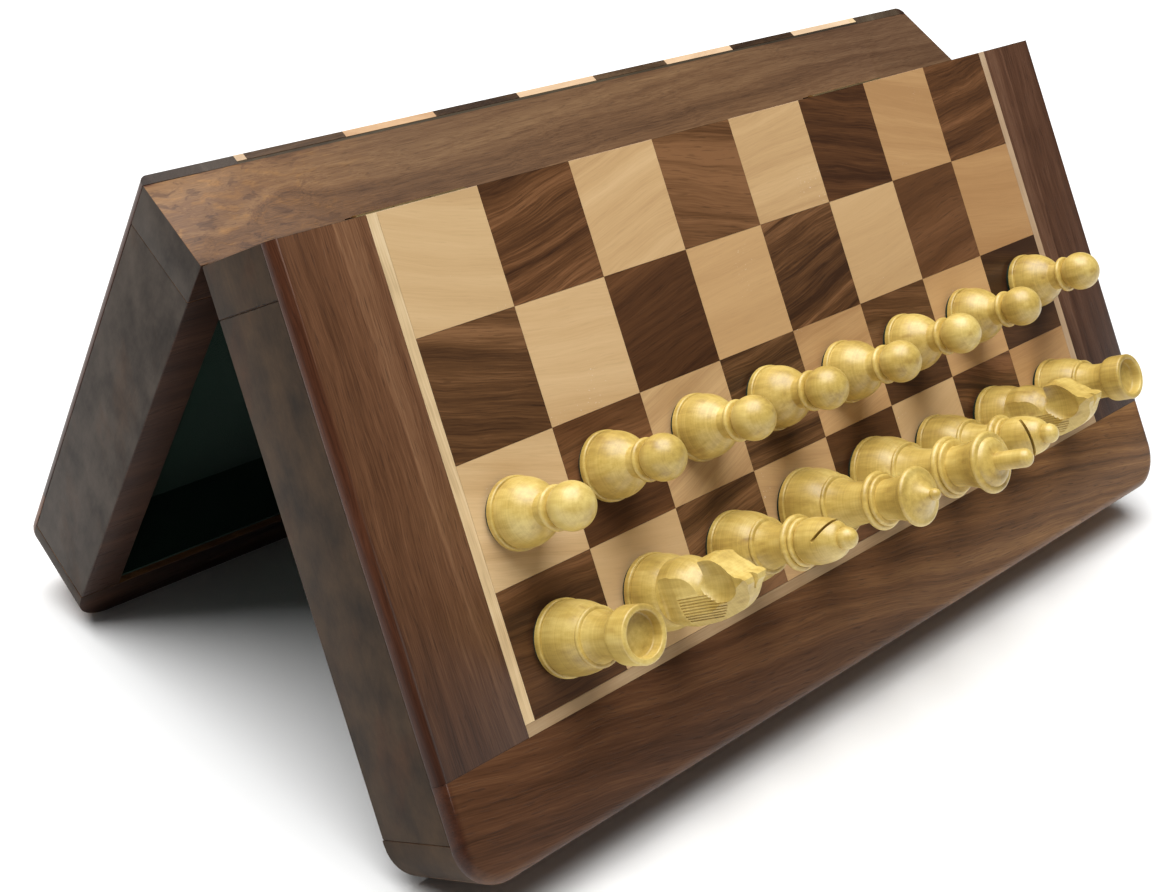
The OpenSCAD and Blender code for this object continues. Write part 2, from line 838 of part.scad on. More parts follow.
module pawn_a() on_pawn_square(0) pawn();
module pawn_b() on_pawn_square(1) pawn();
module pawn_c() on_pawn_square(2) pawn();
module pawn_d() on_pawn_square(3) pawn();
module pawn_e() on_pawn_square(4) pawn();
module pawn_f() on_pawn_square(5) pawn();
module pawn_g() on_pawn_square(6) pawn();
module pawn_h() on_pawn_square(7) pawn();
module rook_a() on_officer_square(0) rook();
module knight_b() on_officer_square(1) knight();
module bishop_c() on_officer_square(2, bishop_c_turn) bishop();
module queen_d() on_officer_square(3) queen();
module king_e() on_officer_square(king_file) king();
module bishop_f() on_officer_square(5, bishop_f_turn) bishop();
module knight_g() on_officer_square(6) knight();
module rook_h() on_officer_square(7) rook();
module pawn_a_base() on_pawn_square(0) man_base(pawn_r);
module pawn_b_base() on_pawn_square(1) man_base(pawn_r);
module pawn_c_base() on_pawn_square(2) man_base(pawn_r);
module pawn_d_base() on_pawn_square(3) man_base(pawn_r);
module pawn_e_base() on_pawn_square(4) man_base(pawn_r);
module pawn_f_base() on_pawn_square(5) man_base(pawn_r);
module pawn_g_base() on_pawn_square(6) man_base(pawn_r);
module pawn_h_base() on_pawn_square(7) man_base(pawn_r);
module rook_a_base() on_officer_square(0) man_base(rook_r);
module knight_b_base() on_officer_square(1) man_base(knight_r);
module bishop_c_base() on_officer_square(2) man_base(bishop_r);
module queen_d_base() on_officer_square(3) man_base(queen_r);
module king_e_base() on_officer_square(king_file) man_base(king_r);
module bishop_f_base() on_officer_square(5) man_base(bishop_r);
module knight_g_base() on_officer_square(6) man_base(knight_r);
module rook_h_base() on_officer_square(7) man_base(rook_r);

front_outer_rail();
front_hinge_rail();
front_end_walls();
front_panel();
front_lining();
front_steel_sheet();
front_dark_squares();
front_light_squares();
front_pale_line();
front_border_strips();
front_catch_magnets();
front_hinge_leaves();
front_hinge_screws();
hinge_pins();
back_outer_rail();
back_hinge_rail();
back_end_walls();
back_panel();
back_lining();
back_steel_sheet();
back_dark_squares();
back_light_squares();
back_pale_line();
back_border_strips();
back_catch_magnets();
back_hinge_leaves();
back_hinge_screws();
pawn_a();
pawn_b();
pawn_c();
pawn_d();
pawn_e();
pawn_f();
pawn_g();
pawn_h();
rook_a();
knight_b();
bishop_c();
queen_d();
king_e();
bishop_f();
knight_g();
rook_h();
pawn_a_base();
pawn_b_base();
pawn_c_base();
pawn_d_base();
pawn_e_base();
pawn_f_base();
pawn_g_base();
pawn_h_base();
rook_a_base();
knight_b_base();
bishop_c_base();
queen_d_base();
king_e_base();
bishop_f_base();
knight_g_base();
rook_h_base();
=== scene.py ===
"""Looks of a folding magnetic chess box that stands open like a tent, men on its front face.

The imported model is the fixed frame. Each class dresses one sub-assembly: the boards of a half, its
inlaid face, its felt, its hinges, and the men. Shapes are worked in millimetres in a half's own
frame (x along the hinge, -y away from it, z from the rim to the board face) and placed in metres.
"""

import json
import logging
import math
import random
from dataclasses import dataclass
from enum import Enum
from typing import Any, ClassVar, Dict, List, Mapping, NamedTuple, Optional, Sequence, Tuple, Union

import bmesh
import bpy
from mathutils import Matrix, Vector, noise


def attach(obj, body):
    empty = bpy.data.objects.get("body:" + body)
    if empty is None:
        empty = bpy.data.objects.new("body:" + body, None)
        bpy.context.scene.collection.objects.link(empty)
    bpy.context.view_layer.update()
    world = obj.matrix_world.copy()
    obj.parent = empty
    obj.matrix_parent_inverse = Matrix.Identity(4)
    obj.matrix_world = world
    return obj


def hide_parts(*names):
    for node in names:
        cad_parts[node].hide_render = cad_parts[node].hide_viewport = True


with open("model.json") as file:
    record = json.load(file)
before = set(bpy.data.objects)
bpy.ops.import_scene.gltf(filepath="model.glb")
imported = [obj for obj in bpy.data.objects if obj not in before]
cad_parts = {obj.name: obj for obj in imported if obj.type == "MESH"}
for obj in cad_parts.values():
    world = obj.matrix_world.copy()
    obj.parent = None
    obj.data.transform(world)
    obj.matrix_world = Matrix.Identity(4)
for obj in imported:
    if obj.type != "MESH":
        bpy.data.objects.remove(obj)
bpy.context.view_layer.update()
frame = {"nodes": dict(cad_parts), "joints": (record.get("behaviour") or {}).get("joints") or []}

MM = 0.001
LOG = logging.getLogger("chess_box")

Triple = Tuple[float, float, float]
Colour = Triple
Point = Tuple[float, float]
Stops = Sequence[Tuple[float, Colour]]
Settings = Mapping[str, Any]
Sockets = Mapping[Union[str, int], Any]
Material = bpy.types.Material
Mesh = bmesh.types.BMesh


# --- shader maths


@dataclass(frozen=True, eq=False)
class Value:
    """A number that changes over a surface; Python's operators on it add Math nodes."""

    graph: "Graph"
    socket: bpy.types.NodeSocket

    def _do(self, operation: str, *terms: "Number") -> "Value":
        """Adds one Math node for these terms."""
        return self.graph.value("ShaderNodeMath", {"operation": operation}, dict(enumerate(terms)))

    def __add__(self, other: "Number") -> "Value":
        """This number plus another."""
        return self._do("ADD", self, other)

    def __sub__(self, other: "Number") -> "Value":
        """This number less another."""
        return self._do("SUBTRACT", self, other)

    def __rsub__(self, other: "Number") -> "Value":
        """Another number less this one."""
        return self._do("SUBTRACT", other, self)

    def __mul__(self, other: "Number") -> "Value":
        """This number times another."""
        return self._do("MULTIPLY", self, other)

    __radd__, __rmul__ = __add__, __mul__

    def __truediv__(self, other: "Number") -> "Value":
        """This number over another."""
        return self._do("DIVIDE", self, other)

    def __neg__(self) -> "Value":
        """This number with its sign changed."""
        return self._do("MULTIPLY", self, -1.0)

    def __abs__(self) -> "Value":
        """This number's size."""
        return self._do("ABSOLUTE", self)

    def floor(self) -> "Value":
        """The whole number below."""
        return self._do("FLOOR", self)

    def fract(self) -> "Value":
        """What is left above the whole number below."""
        return self._do("FRACT", self)

    def at_least(self, low: float) -> "Value":
        """The larger of this number and low."""
        return self._do("MAXIMUM", self, low)

    def at_most(self, high: float) -> "Value":
        """The smaller of this number and high."""
        return self._do("MINIMUM", self, high)

    def above(self, limit: float) -> "Value":
        """1 where this number is above a limit, and 0 elsewhere."""
        return self._do("GREATER_THAN", self, limit)

    def ramp(self, low: float, high: float) -> "Value":
        """A smooth step from 0 at low to 1 at high; low may be the larger.

        Args:
            low: where the step starts.
            high: where it ends; it may be lower than low.

        Returns:
            The step.
        """
        settings = {"interpolation_type": "SMOOTHSTEP", "clamp": True}
        sockets = {"Value": self, "From Min": low, "From Max": high, "To Min": 0.0, "To Max": 1.0}
        return self.graph.value("ShaderNodeMapRange", settings, sockets)


Number = Union[float, int, Value]
Shade = Union[Colour, bpy.types.NodeSocket]


class Spot(NamedTuple):
    """A place on a surface in a half's own frame: along the hinge, away from it, and height."""

    x: Value
    v: Value
    w: Value


class Graph:
    """A material's node graph, built through one node-making method."""

    COLOUR_A, COLOUR_B, COLOUR_OUT = 6, 7, 2

    def __init__(self, name: str) -> None:
        """Starts an empty material of this name.

        Args:
            name: the material's name.
        """
        self.material = bpy.data.materials.new(name)
        self.material.use_nodes = True
        self.nodes = self.material.node_tree.nodes
        self.links = self.material.node_tree.links
        self.nodes.clear()

    def node(
        self, kind: str, settings: Optional[Settings] = None, sockets: Optional[Sockets] = None
    ) -> bpy.types.Node:
        """Makes a node, sets its settings, then its sockets.

        Args:
            kind: the node's type, such as ShaderNodeMath.
            settings: attributes to set first; "stops" gives a ramp's positions and colours.
            sockets: input sockets by name or index, with a number, a colour, a socket or a Value.

        Returns:
            The new node.
        """
        made = self.nodes.new(kind)
        for key, value in (settings or {}).items():
            if key == "stops":
                self._set_stops(made.color_ramp, value)
            else:
                setattr(made.color_ramp if kind == "ShaderNodeValToRGB" else made, key, value)
        for key, value in (sockets or {}).items():
            target = made.inputs[key]
            if isinstance(value, (Value, bpy.types.NodeSocket)):
                self.links.new(getattr(value, "socket", value), target)
            elif target.type == "RGBA" and len(value) == 3:
                target.default_value = (*value, 1.0)
            else:
                target.default_value = value
        return made

    @staticmethod
    def _set_stops(ramp: bpy.types.ColorRamp, stops: Stops) -> None:
        """Gives a colour ramp its stops, from the lowest to the highest.

        Args:
            ramp: the ramp.
            stops: positions with colours, lowest first.
        """
        while len(ramp.elements) < len(stops):
            ramp.elements.new(0.5)
        for element, (position, colour) in zip(ramp.elements, stops):
            element.position = position
            element.color = (*colour, 1.0)

    def value(self, kind: str, settings: Optional[Settings], sockets: Sockets) -> Value:
        """Makes a node and takes its first output as a number."""
        return Value(self, self.node(kind, settings, sockets).outputs[0])

    def spot(self, place: "HalfPlace") -> Spot:
        """The surface's own place in a half's frame in millimetres, from Object coordinates.

        Args:
            place: the half that the surface belongs to.

        Returns:
            The place on the surface.
        """
        turn = place.axes().transposed()
        sockets = {
            "Vector": self.node("ShaderNodeTexCoord").outputs["Object"],
            "Location": tuple(turn @ place.hinge_m * (-1 / MM)),
            "Rotation": tuple(turn.to_euler()),
            "Scale": (1 / MM,) * 3,
        }
        mapped = self.node("ShaderNodeMapping", {"vector_type": "POINT"}, sockets).outputs[0]
        parts = self.node("ShaderNodeSeparateXYZ", None, {0: mapped}).outputs
        x, y, w = (Value(self, part) for part in parts)
        return Spot(x, -y, w)

    def noise(
        self, x: Number, y: Number, z: Number, detail: float = 2.0, rough: float = 0.5
    ) -> Value:
        """Smooth noise from 0 to 1 with one bump per unit.

        Args:
            x: where it is read, along the first axis.
            y: where it is read, along the second axis.
            z: where it is read, along the third axis.
            detail: how many finer layers it has.
            rough: how strong they are.

        Returns:
            The noise there.
        """
        at = self.node("ShaderNodeCombineXYZ", None, {0: x, 1: y, 2: z}).outputs[0]
        sockets = {"Vector": at, "Scale": 1.0, "Detail": detail, "Roughness": rough}
        return self.value("ShaderNodeTexNoise", None, sockets)

    def mix(self, share: Number, low: Shade, high: Shade, blend: str = "MIX") -> Shade:
        """A colour from low, where share is 0, to high laid on it, where share is 1.

        Args:
            share: how much of high is laid on.
            low: the colour under it.
            high: the colour that is laid on.
            blend: the Mix node's blend type.

        Returns:
            The mixed colour.
        """
        settings = {"data_type": "RGBA", "blend_type": blend, "clamp_factor": True}
        sockets = {0: share, self.COLOUR_A: low, self.COLOUR_B: high}
        return self.node("ShaderNodeMix", settings, sockets).outputs[self.COLOUR_OUT]

    def tint(self, share: Number, colour: Shade, by: Colour) -> Shade:
        """A colour that is multiplied by another where share is 1."""
        return self.mix(share, colour, by, "MULTIPLY")

    def tones(self, at: Number, stops: Stops) -> Shade:
        """A colour picked along a ramp of stops."""
        return self.node("ShaderNodeValToRGB", {"stops": stops}, {0: at}).outputs[0]

    def finish(
        self,
        colour: Shade,
        roughness: Number,
        height: Optional[Value] = None,
        depth_mm: float = 0.05,
        constants: Optional[Settings] = None,
    ) -> Material:
        """Ends the graph in a Principled shader.

        Args:
            colour: the base colour.
            roughness: the surface's roughness.
            height: what the Bump node reads, from 0 to 1.
            depth_mm: how deep a height of 1 is.
            constants: values that are the same all over the surface, by socket name.

        Returns:
            The finished material.
        """
        sockets: Dict[Union[str, int], Any] = {"Base Color": colour, "Roughness": roughness}
        if height is not None:
            bump = {"Height": height, "Distance": depth_mm * MM, "Strength": 1.0}
            sockets["Normal"] = self.node("ShaderNodeBump", None, bump).outputs[0]
        sockets.update(constants or {})
        shader = self.node("ShaderNodeBsdfPrincipled", None, sockets)
        self.node("ShaderNodeOutputMaterial", None, {"Surface": shader.outputs[0]})
        return self.material


# --- where things are


@dataclass(frozen=True)
class HalfPlace:
    """Where one half of the box stands: its hinge axis, its lean from upright, and which half."""

    name: str
    hinge_m: Vector
    lean: float
    turned: bool

    def axes(self) -> Matrix:
        """The half's axes as the columns of a 3x3 rotation."""
        turn = Matrix.Rotation(math.pi if self.turned else 0.0, 3, "Z")
        return turn @ Matrix.Rotation(math.pi / 2 - self.lean, 3, "X")

    def matrix(self) -> Matrix:
        """The matrix from the half's millimetres to the frame's metres."""
        return Matrix.Translation(self.hinge_m) @ self.axes().to_4x4() @ Matrix.Scale(MM, 4)

    def node(self, part: str) -> str:
        """The name of one of the half's CAD nodes."""
        return f"{self.name}_{part}"

    def body(self) -> str:
        """The name of the CAD body that the half is."""
        return f"{self.name}_half"


def half_places() -> Tuple[HalfPlace, HalfPlace]:
    """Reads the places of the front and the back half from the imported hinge.

    Returns:
        The front half's place and the back half's.
    """
    joint = next(j for j in frame["joints"] if j["name"] == "box_hinge")
    hinge = Vector(joint["pos_m"])
    lean = math.radians(-joint["range_deg"][0]) / 2
    return HalfPlace("front", hinge, lean, False), HalfPlace("back", hinge, lean, True)


@dataclass(frozen=True)
class BoxSizes:
    """Sizes of the box that the finishes need, in millimetres, as the CAD part has them."""

    length: float = 254.0
    half_h: float = 25.0
    square: float = 25.5
    line_w: float = 2.5
    hinge_rail_t: float = 11.0
    columns: int = 8
    rows: int = 4

    @property
    def line_v(self) -> float:
        """The far edge of the pale line, away from the hinge."""
        return self.rows * self.square + self.line_w


SIZES = BoxSizes()


# --- finishes


@dataclass(frozen=True)
class WoodTone:
    """The colours of one wood: its dark growth lines, its body and its light streaks."""

    dark: Colour
    body: Colour
    light: Colour

    def stops(self) -> Stops:
        """The wood's colours as stops of a ramp."""
        return [(0.12, self.dark), (0.5, self.body), (0.9, self.light)]

    def pore(self, share: float) -> Colour:
        """The dark colour's share that shows in the pores."""
        return tuple(share * c for c in self.dark)


class Grain(Enum):
    """Which way a board's grain runs in its half's own frame."""

    ALONG_HINGE = "along the hinge"
    FROM_HINGE = "away from the hinge"

    def along(self, spot: Spot) -> Spot:
        """The distances along the grain, across it on the board face, and through the board."""
        return spot if self is Grain.ALONG_HINGE else Spot(spot.v, spot.x, spot.w)


@dataclass(frozen=True)
class Figure:
    """How a wood's growth lines, streaks, fibres and pores make up its figure.

    Attributes:
        line_mm: the spacing of the widest growth bands.
        bands: how strongly the bands show.
        wander_mm: how far the bands stray from straight lines.
        fibres: how strongly the fine fibres show.
        pores: how strongly the pores show.
        depth_share: how much a step through the board counts against one across it.
    """

    line_mm: float
    bands: float
    wander_mm: float
    fibres: float
    pores: float = 0.6
    depth_share: float = 0.8

    def read(
        self, graph: Graph, g: Value, a: Value, b: Value, curl: Number = 1.0
    ) -> Tuple[Value, Value, Value]:
        """Works the figure out at a place in the wood.

        Args:
            graph: the graph to build in.
            g: the distance along the grain.
            a: the distance across it.
            b: the distance through the board.
            curl: how much more the bands stray here.

        Returns:
            The tone from 0, dark, to 1, light; the fibres; and the pores.
        """
        slow = graph.noise(g * 0.011, a * 0.045, b * 0.04, 2.0, 0.45)
        knot = graph.noise(g * 0.045, a * 0.10, b * 0.08 + 4.0)
        stray = ((slow - 0.5) * 2.0 + (knot - 0.5) * curl * 0.5) * self.wander_mm
        across = (a + b * self.depth_share + stray) / self.line_mm
        band = graph.noise(across, g * 0.004, 1.5, 5.0, 0.62)
        fibre = graph.noise(g * 0.10, (a + stray) * 3.2, b * 3.2, 3.0, 0.62)
        pit = graph.noise(g * 0.20, (a + stray) * 3.0, b * 3.0 + 8.0, 1.0)
        tone = 0.5 + (band - 0.5) * (2.2 * self.bands) + (fibre - 0.5) * (2.0 * self.fibres)
        return tone, fibre, pit.ramp(0.62, 0.70) * self.pores


@dataclass(frozen=True)
class Tint:
    """A change of colour over a board, from one end of a stretch to the other.

    Attributes:
        colour: what the wood is multiplied by at the far end.
        start: where the change starts, in millimetres.
        end: where it is complete.
        axis: the direction in a half's own frame that it follows, x or v.
    """

    colour: Colour
    start: float
    end: float
    axis: str = "x"


@dataclass(frozen=True)
class Finish:
    """A procedural finish; what it is made of follows a half's own frame."""

    name: str

    def material(self, place: HalfPlace) -> Material:
        """Makes the finish's material for one half."""
        graph = Graph(f"{place.name}_{self.name}")
        return self.shade(graph, graph.spot(place), place.turned)

    def shade(self, graph: Graph, spot: Spot, turned: bool) -> Material:
        """Builds the finish's nodes.

        Args:
            graph: the finish's empty graph.
            spot: the surface's place in the half's frame.
            turned: whether the half is the back one.

        Returns:
            The finished material.
        """
        raise NotImplementedError


@dataclass(frozen=True)
class SawnWood(Finish):
    """A lacquered board of the frame.

    Attributes:
        tone: the wood's colours.
        figure: its figure.
        grain: which way the grain runs.
        slope: how far the grain drifts across the board per millimetre along it.
        offset: a shift that gives each board a figure of its own.
        drifts: the changes of colour over the board.
        curled_end: where along the hinge the figure starts and finishes curling.
        seam: the heartwood's edge on the side borders: its distance from the middle, its slope,
            and how much lighter the wood is past it.
        roughness: the lacquer's roughness.
    """

    tone: WoodTone
    figure: Figure
    grain: Grain = Grain.ALONG_HINGE
    slope: float = 0.0
    offset: float = 0.0
    drifts: Tuple[Tint, ...] = ()
    curled_end: Optional[Point] = None
    seam: Optional[Triple] = None
    roughness: float = 0.38

    def shade(self, graph: Graph, spot: Spot, turned: bool) -> Material:
        """Builds the board's nodes: its figure, its drifts, then its rounded end edges, darkened
        partly as painted shade, and its sawn edges.

        Args:
            graph: the finish's empty graph.
            spot: the surface's place in the half's frame.
            turned: whether the half is the back one.

        Returns:
            The finished material.
        """
        x, v, w = spot
        g, a, b = self.grain.along(spot)
        far = self.offset + (53.0 if turned else 0.0)
        curl: Number = 1.0
        if self.curled_end:
            curl = 1.0 + x.ramp(*self.curled_end) * 5.0
        tone, fibre, pores = self.figure.read(graph, g + far, a + g * self.slope + far, b, curl)
        if self.seam:
            tone = tone + self._past_seam(graph, spot)
        colour = graph.tones(tone, self.tone.stops())
        if self.curled_end:
            colour = self._swirled(graph, spot, colour)
        for drift in self.drifts:
            share = getattr(spot, drift.axis).ramp(drift.start, drift.end)
            colour = graph.tint(share, colour, drift.colour)
        # painted shade: the rounded edges at the ends are darkened and reddened, partly as deeper
        # lacquer there and partly as the shade they turn into
        end_edge_lacquer_and_shade = abs(x).ramp(SIZES.length / 2 - 3.0, SIZES.length / 2 - 1.2)
        end_edge_lacquer_and_shade = end_edge_lacquer_and_shade * w.above(SIZES.half_h - 3.0)
        sawn = v.ramp(0.3, 0.15) * w.above(SIZES.half_h - 2.5)
        colour = graph.tint(end_edge_lacquer_and_shade * 0.9, colour, (0.52, 0.35, 0.30))
        colour = graph.tint(sawn, colour, (0.42, 0.60, 0.75))
        colour = graph.mix(pores * 0.6, colour, self.tone.pore(0.35))
        height = 0.6 + (fibre - 0.5) * 0.4 - pores * 0.7
        rough = self.roughness + (fibre - 0.5) * 0.1 + pores * 0.15
        coat = {"Coat Weight": 0.05, "Coat Roughness": 0.2, "Specular IOR Level": 0.2}
        return graph.finish(colour, rough, height, 0.05, coat)

    def _swirled(self, graph: Graph, spot: Spot, colour: Shade) -> Shade:
        """Golden swirls with dark flecks between them, where the figure curls.

        Args:
            graph: the graph to build in.
            spot: the surface's place in the half's frame.
            colour: the colour so far.

        Returns:
            The colour with its swirls.
        """
        x, _, w = spot
        start, end = self.curled_end or (0.0, 1.0)
        where = x.ramp(start - 10.0, end)
        warp = graph.noise(x * 0.12, w * 0.12, 1.0)
        swirl = graph.noise(x * 0.16 + warp * 2.5, w * 0.42 + warp * 3.5, 4.0, 4.0, 0.6)
        colour = graph.tint(swirl.ramp(0.50, 0.66) * where, colour, (1.30, 1.25, 0.95))
        fleck = swirl.ramp(0.44, 0.36) * where
        return graph.tint(fleck * 0.8, colour, (0.52, 0.48, 0.52))

    def _past_seam(self, graph: Graph, spot: Spot) -> Value:
        """A light line where the heartwood ends, and the lighter wood past it.

        Args:
            graph: the graph to build in.
            spot: the surface's place in the half's frame.

        Returns:
            What is added to the wood's tone.
        """
        middle, slope, step = self.seam or (0.0, 0.0, 0.0)
        ragged = graph.noise(spot.v * 0.05, spot.x * 0.2, 6.0, 3.0, 0.6)
        past = middle - abs(spot.x) + spot.v * slope + (ragged - 0.5) * 3.0
        line = (1.0 - abs(past) / 0.7).at_least(0.0)
        return past.ramp(-0.6, 0.6) * step + line * 0.22


@dataclass(frozen=True)
class PaleLine(Finish):
    """The pale line round the squares: three strips, each cut from wood of its own tone.

    Attributes:
        tones: the strips' woods at -x, at +x and along the outer side.
        figure: the figure that they share.
        roughness: the lacquer's roughness.
    """

    tones: Tuple[WoodTone, WoodTone, WoodTone]
    figure: Figure
    roughness: float = 0.38

    def shade(self, graph: Graph, spot: Spot, turned: bool) -> Material:
        """Builds the line's nodes: one figure, then the tone of the strip that it is in.

        Args:
            graph: the finish's empty graph.
            spot: the surface's place in the half's frame.
            turned: whether the half is the back one.

        Returns:
            The finished material.
        """
        x, v, w = spot
        outer = v.above(SIZES.line_v - SIZES.line_w)
        side = 1.0 - outer
        g = x * outer + v * side + (71.0 if turned else 13.0)
        tone, fibre, pores = self.figure.read(graph, g, v * outer + x * side, w)
        tone = tone + (graph.noise(x * 0.08, v * 0.08, 2.0) - 0.5) * 0.9
        left, right, far = (graph.tones(tone, wood.stops()) for wood in self.tones)
        colour = graph.mix(outer, graph.mix(x.above(0.0), left, right), far)
        colour = graph.mix(pores * 0.5, colour, self.tones[2].dark)
        return graph.finish(colour, self.roughness, fibre, 0.03, {"Specular IOR Level": 0.2})


@dataclass(frozen=True)
class SandedEnd(Finish):
    """The bare, dusty finish of the box's ends: blotched, with a joint that may have cracked.

    Attributes:
        low: the dark blotches' colour.
        high: the light blotches' colour.
        rust: what the reddish patches are multiplied by.
        cracked: whether the joint under the hinge rail has opened.
        roughness: the finish's roughness.
    """

    low: Colour
    high: Colour
    rust: Colour
    cracked: bool
    roughness: float = 0.75

    def shade(self, graph: Graph, spot: Spot, turned: bool) -> Material:
        """Builds the end's nodes: blotches, rust and grit, then the opened joint, its gap painted
        near-black as shade.

        Args:
            graph: the finish's empty graph.
            spot: the surface's place in the half's frame.
            turned: not used.

        Returns:
            The finished material.
        """
        x, w, v = spot.x, spot.w, spot.v + spot.x * 0.7
        slant = v * 0.5 + w
        blotch = graph.noise(v * 0.09, w * 0.11, x * 0.05, 4.0, 0.6)
        smear = graph.noise(v * 0.08 + 5.0, slant * 0.2, x * 0.1, 3.0, 0.55)
        streak = graph.noise(v * 0.05, w * 1.6, x * 0.4, 3.0)
        grit = graph.noise(v * 2.2, w * 2.2, x * 2.2, 2.0, 0.7)
        tone = 0.5 + (blotch - 0.5) * 2.1 + (smear - 0.5) * 0.7 + (streak - 0.5) * 0.25
        colour = graph.mix(tone + (grit - 0.5) * 0.16, self.low, self.high)
        patch = graph.noise(v * 0.055 + 3.0, slant * 0.08, 4.0, 3.0, 0.6)
        colour = graph.tint(patch.ramp(0.50, 0.72), colour, self.rust)
        height = 0.5 + (grit - 0.5) * 0.6 + (streak - 0.5) * 0.2
        if self.cracked:
            ragged = graph.noise(w * 0.9, x * 0.3, 2.0, 3.0, 0.7)
            broken = graph.noise(w * 0.35, x * 0.1, 9.0, 1.0)
            off_joint = abs(spot.v - SIZES.hinge_rail_t + (ragged - 0.5) * 0.8)
            # painted shade: the opened joint's gap is painted near-black as the shade inside it; the
            # lighter chips beside it are wear
            crack_shade = off_joint.ramp(0.34, 0.12) * broken.ramp(0.38, 0.50)
            chips = off_joint.ramp(0.9, 0.3) * ragged.ramp(0.60, 0.68)
            colour = graph.mix(crack_shade, colour, (0.006, 0.005, 0.004))
            colour = graph.mix(chips * 0.7, colour, (0.22, 0.16, 0.10))
            height = height - crack_shade * 0.8
        return graph.finish(colour, self.roughness, height, 0.04, {"Specular IOR Level": 0.25})


@dataclass(frozen=True)
class Veneer(Finish):
    """The squares of one wood: each is cut from its own piece.

    Attributes:
        tone: the wood's colours.
        figure: its figure.
        warm: what the warmest squares are multiplied by.
        sawn: what the squares' sawn edges at the hinge are multiplied by.
        spread: how much lighter the lightest square is than the darkest, on the tone's scale.
        seed: which way the pieces fell.
        ageing: how much darker and warmer the squares have grown at the +x end.
        roughness: the lacquer's roughness.
        scuffs: whether specks show where men have rubbed.
    """

    tone: WoodTone
    figure: Figure
    warm: Colour
    sawn: Colour
    spread: float
    seed: int
    ageing: float = 0.0
    roughness: float = 0.36
    scuffs: bool = False

    def draws(self) -> List[Colour]:
        """Three random numbers for each of a half's squares, row by row.

        Returns:
            One colour of three numbers for each square.
        """
        luck = random.Random(self.seed)
        count = SIZES.columns * SIZES.rows
        return [(luck.random(), luck.random(), luck.random()) for _ in range(count)]

    def shade(self, graph: Graph, spot: Spot, turned: bool) -> Material:
        """Builds the squares' nodes: each square's own draw, figure, tone and age.

        Args:
            graph: the finish's empty graph.
            spot: the surface's place in the half's frame.
            turned: not used.

        Returns:
            The finished material.
        """
        x, v, w = spot
        side, cells = SIZES.square, SIZES.columns * SIZES.rows
        column = (x / side).floor() + SIZES.columns / 2
        cell = ((v / side).floor() * SIZES.columns + column + 0.5) / cells
        stops = [(i / cells, draw) for i, draw in enumerate(self.draws())]
        settings = {"stops": stops, "interpolation": "CONSTANT"}
        drawn = graph.node("ShaderNodeValToRGB", settings, {0: cell}).outputs[0]
        parts = graph.node("ShaderNodeSeparateColor", None, {0: drawn}).outputs
        light, red, lot = (Value(graph, part) for part in parts[:3])
        in_x = x - ((x / side).floor() + 0.5) * side
        across = v + in_x * (((lot * 7.0).fract() - 0.5) * 0.7) + lot * 370.0
        tone, fibre, pores = self.figure.read(graph, x + lot * 900.0, across, w + red * 40.0)
        contrast = 0.45 + (lot * 13.0).fract() * 0.9
        tone = (tone - 0.5) * contrast + 0.5 + (light - 0.5) * self.spread
        aged = column.ramp(SIZES.columns / 2, SIZES.columns) * self.ageing
        colour = graph.tones(tone - aged * 0.5, self.tone.stops())
        colour = graph.tint((red + aged).at_most(1.0), colour, self.warm)
        colour = graph.mix(pores * 0.5, colour, self.tone.pore(0.5))
        colour = graph.tint(v.ramp(0.3, 0.15), colour, self.sawn)
        if self.scuffs:
            speck = graph.noise(x * 1.6, v * 1.6, 3.0, 2.0, 0.7)
            rubbed = graph.noise(x * 0.07, v * 0.07, 7.0, 1.0)
            mark = speck.ramp(0.66, 0.72) * rubbed.ramp(0.60, 0.68)
            colour = graph.mix(mark * 0.8, colour, (0.86, 0.78, 0.66))
        height = 0.6 + (fibre - 0.5) * 0.4 - pores * 0.5
        rough = self.roughness + (fibre - 0.5) * 0.1
        coat = {"Coat Weight": 0.05, "Coat Roughness": 0.18, "Specular IOR Level": 0.2}
        return graph.finish(colour, rough, height, 0.03, coat)


@dataclass(frozen=True)
class Boxwood(Finish):
    """The men's lacquered boxwood: creamy yellow, its grain along the man, with faint patches."""

    name: str = "boxwood"
    deep: Colour = (0.350, 0.222, 0.044)
    body: Colour = (0.550, 0.385, 0.090)
    light: Colour = (0.730, 0.560, 0.180)
    stain: Colour = (0.62, 0.50, 0.34)

    def shade(self, graph: Graph, spot: Spot, turned: bool) -> Material:
        """Builds the men's nodes: patches, streaks and fibres up the man, and the lathe's marks.

        Args:
            graph: the finish's empty graph.
            spot: the surface's place in the half's frame.
            turned: not used.

        Returns:
            The finished material.
        """
        x, v, w = spot
        patch = graph.noise(x * 0.10, v * 0.10, w * 0.06, 3.0, 0.6)
        streak = graph.noise(x * 0.9, v * 0.9, w * 0.05, 3.0, 0.6)
        fibre = graph.noise(x * 4.0, v * 4.0, w * 0.3)
        lathe = graph.noise(w * 2.4, x * 0.05, 1.0, 3.0, 0.7)
        tone = 0.5 + (patch - 0.5) * 1.4 + (streak - 0.5) * 0.7 + (fibre - 0.5) * 0.2
        tone = tone + (lathe - 0.5) * 0.5
        colour = graph.tones(tone, [(0.1, self.deep), (0.5, self.body), (0.9, self.light)])
        mark = graph.noise(x * 0.35, v * 0.35, w * 0.12 + 5.0)
        colour = graph.tint(mark.ramp(0.62, 0.76) * 0.5, colour, self.stain)
        height = 0.5 + (fibre - 0.5) * 0.3 + (lathe - 0.5) * 0.8
        coat = {"Coat Weight": 0.25, "Coat Roughness": 0.30, "Specular IOR Level": 0.6}
        return graph.finish(colour, 0.42 + (streak - 0.5) * 0.12, height, 0.012, coat)


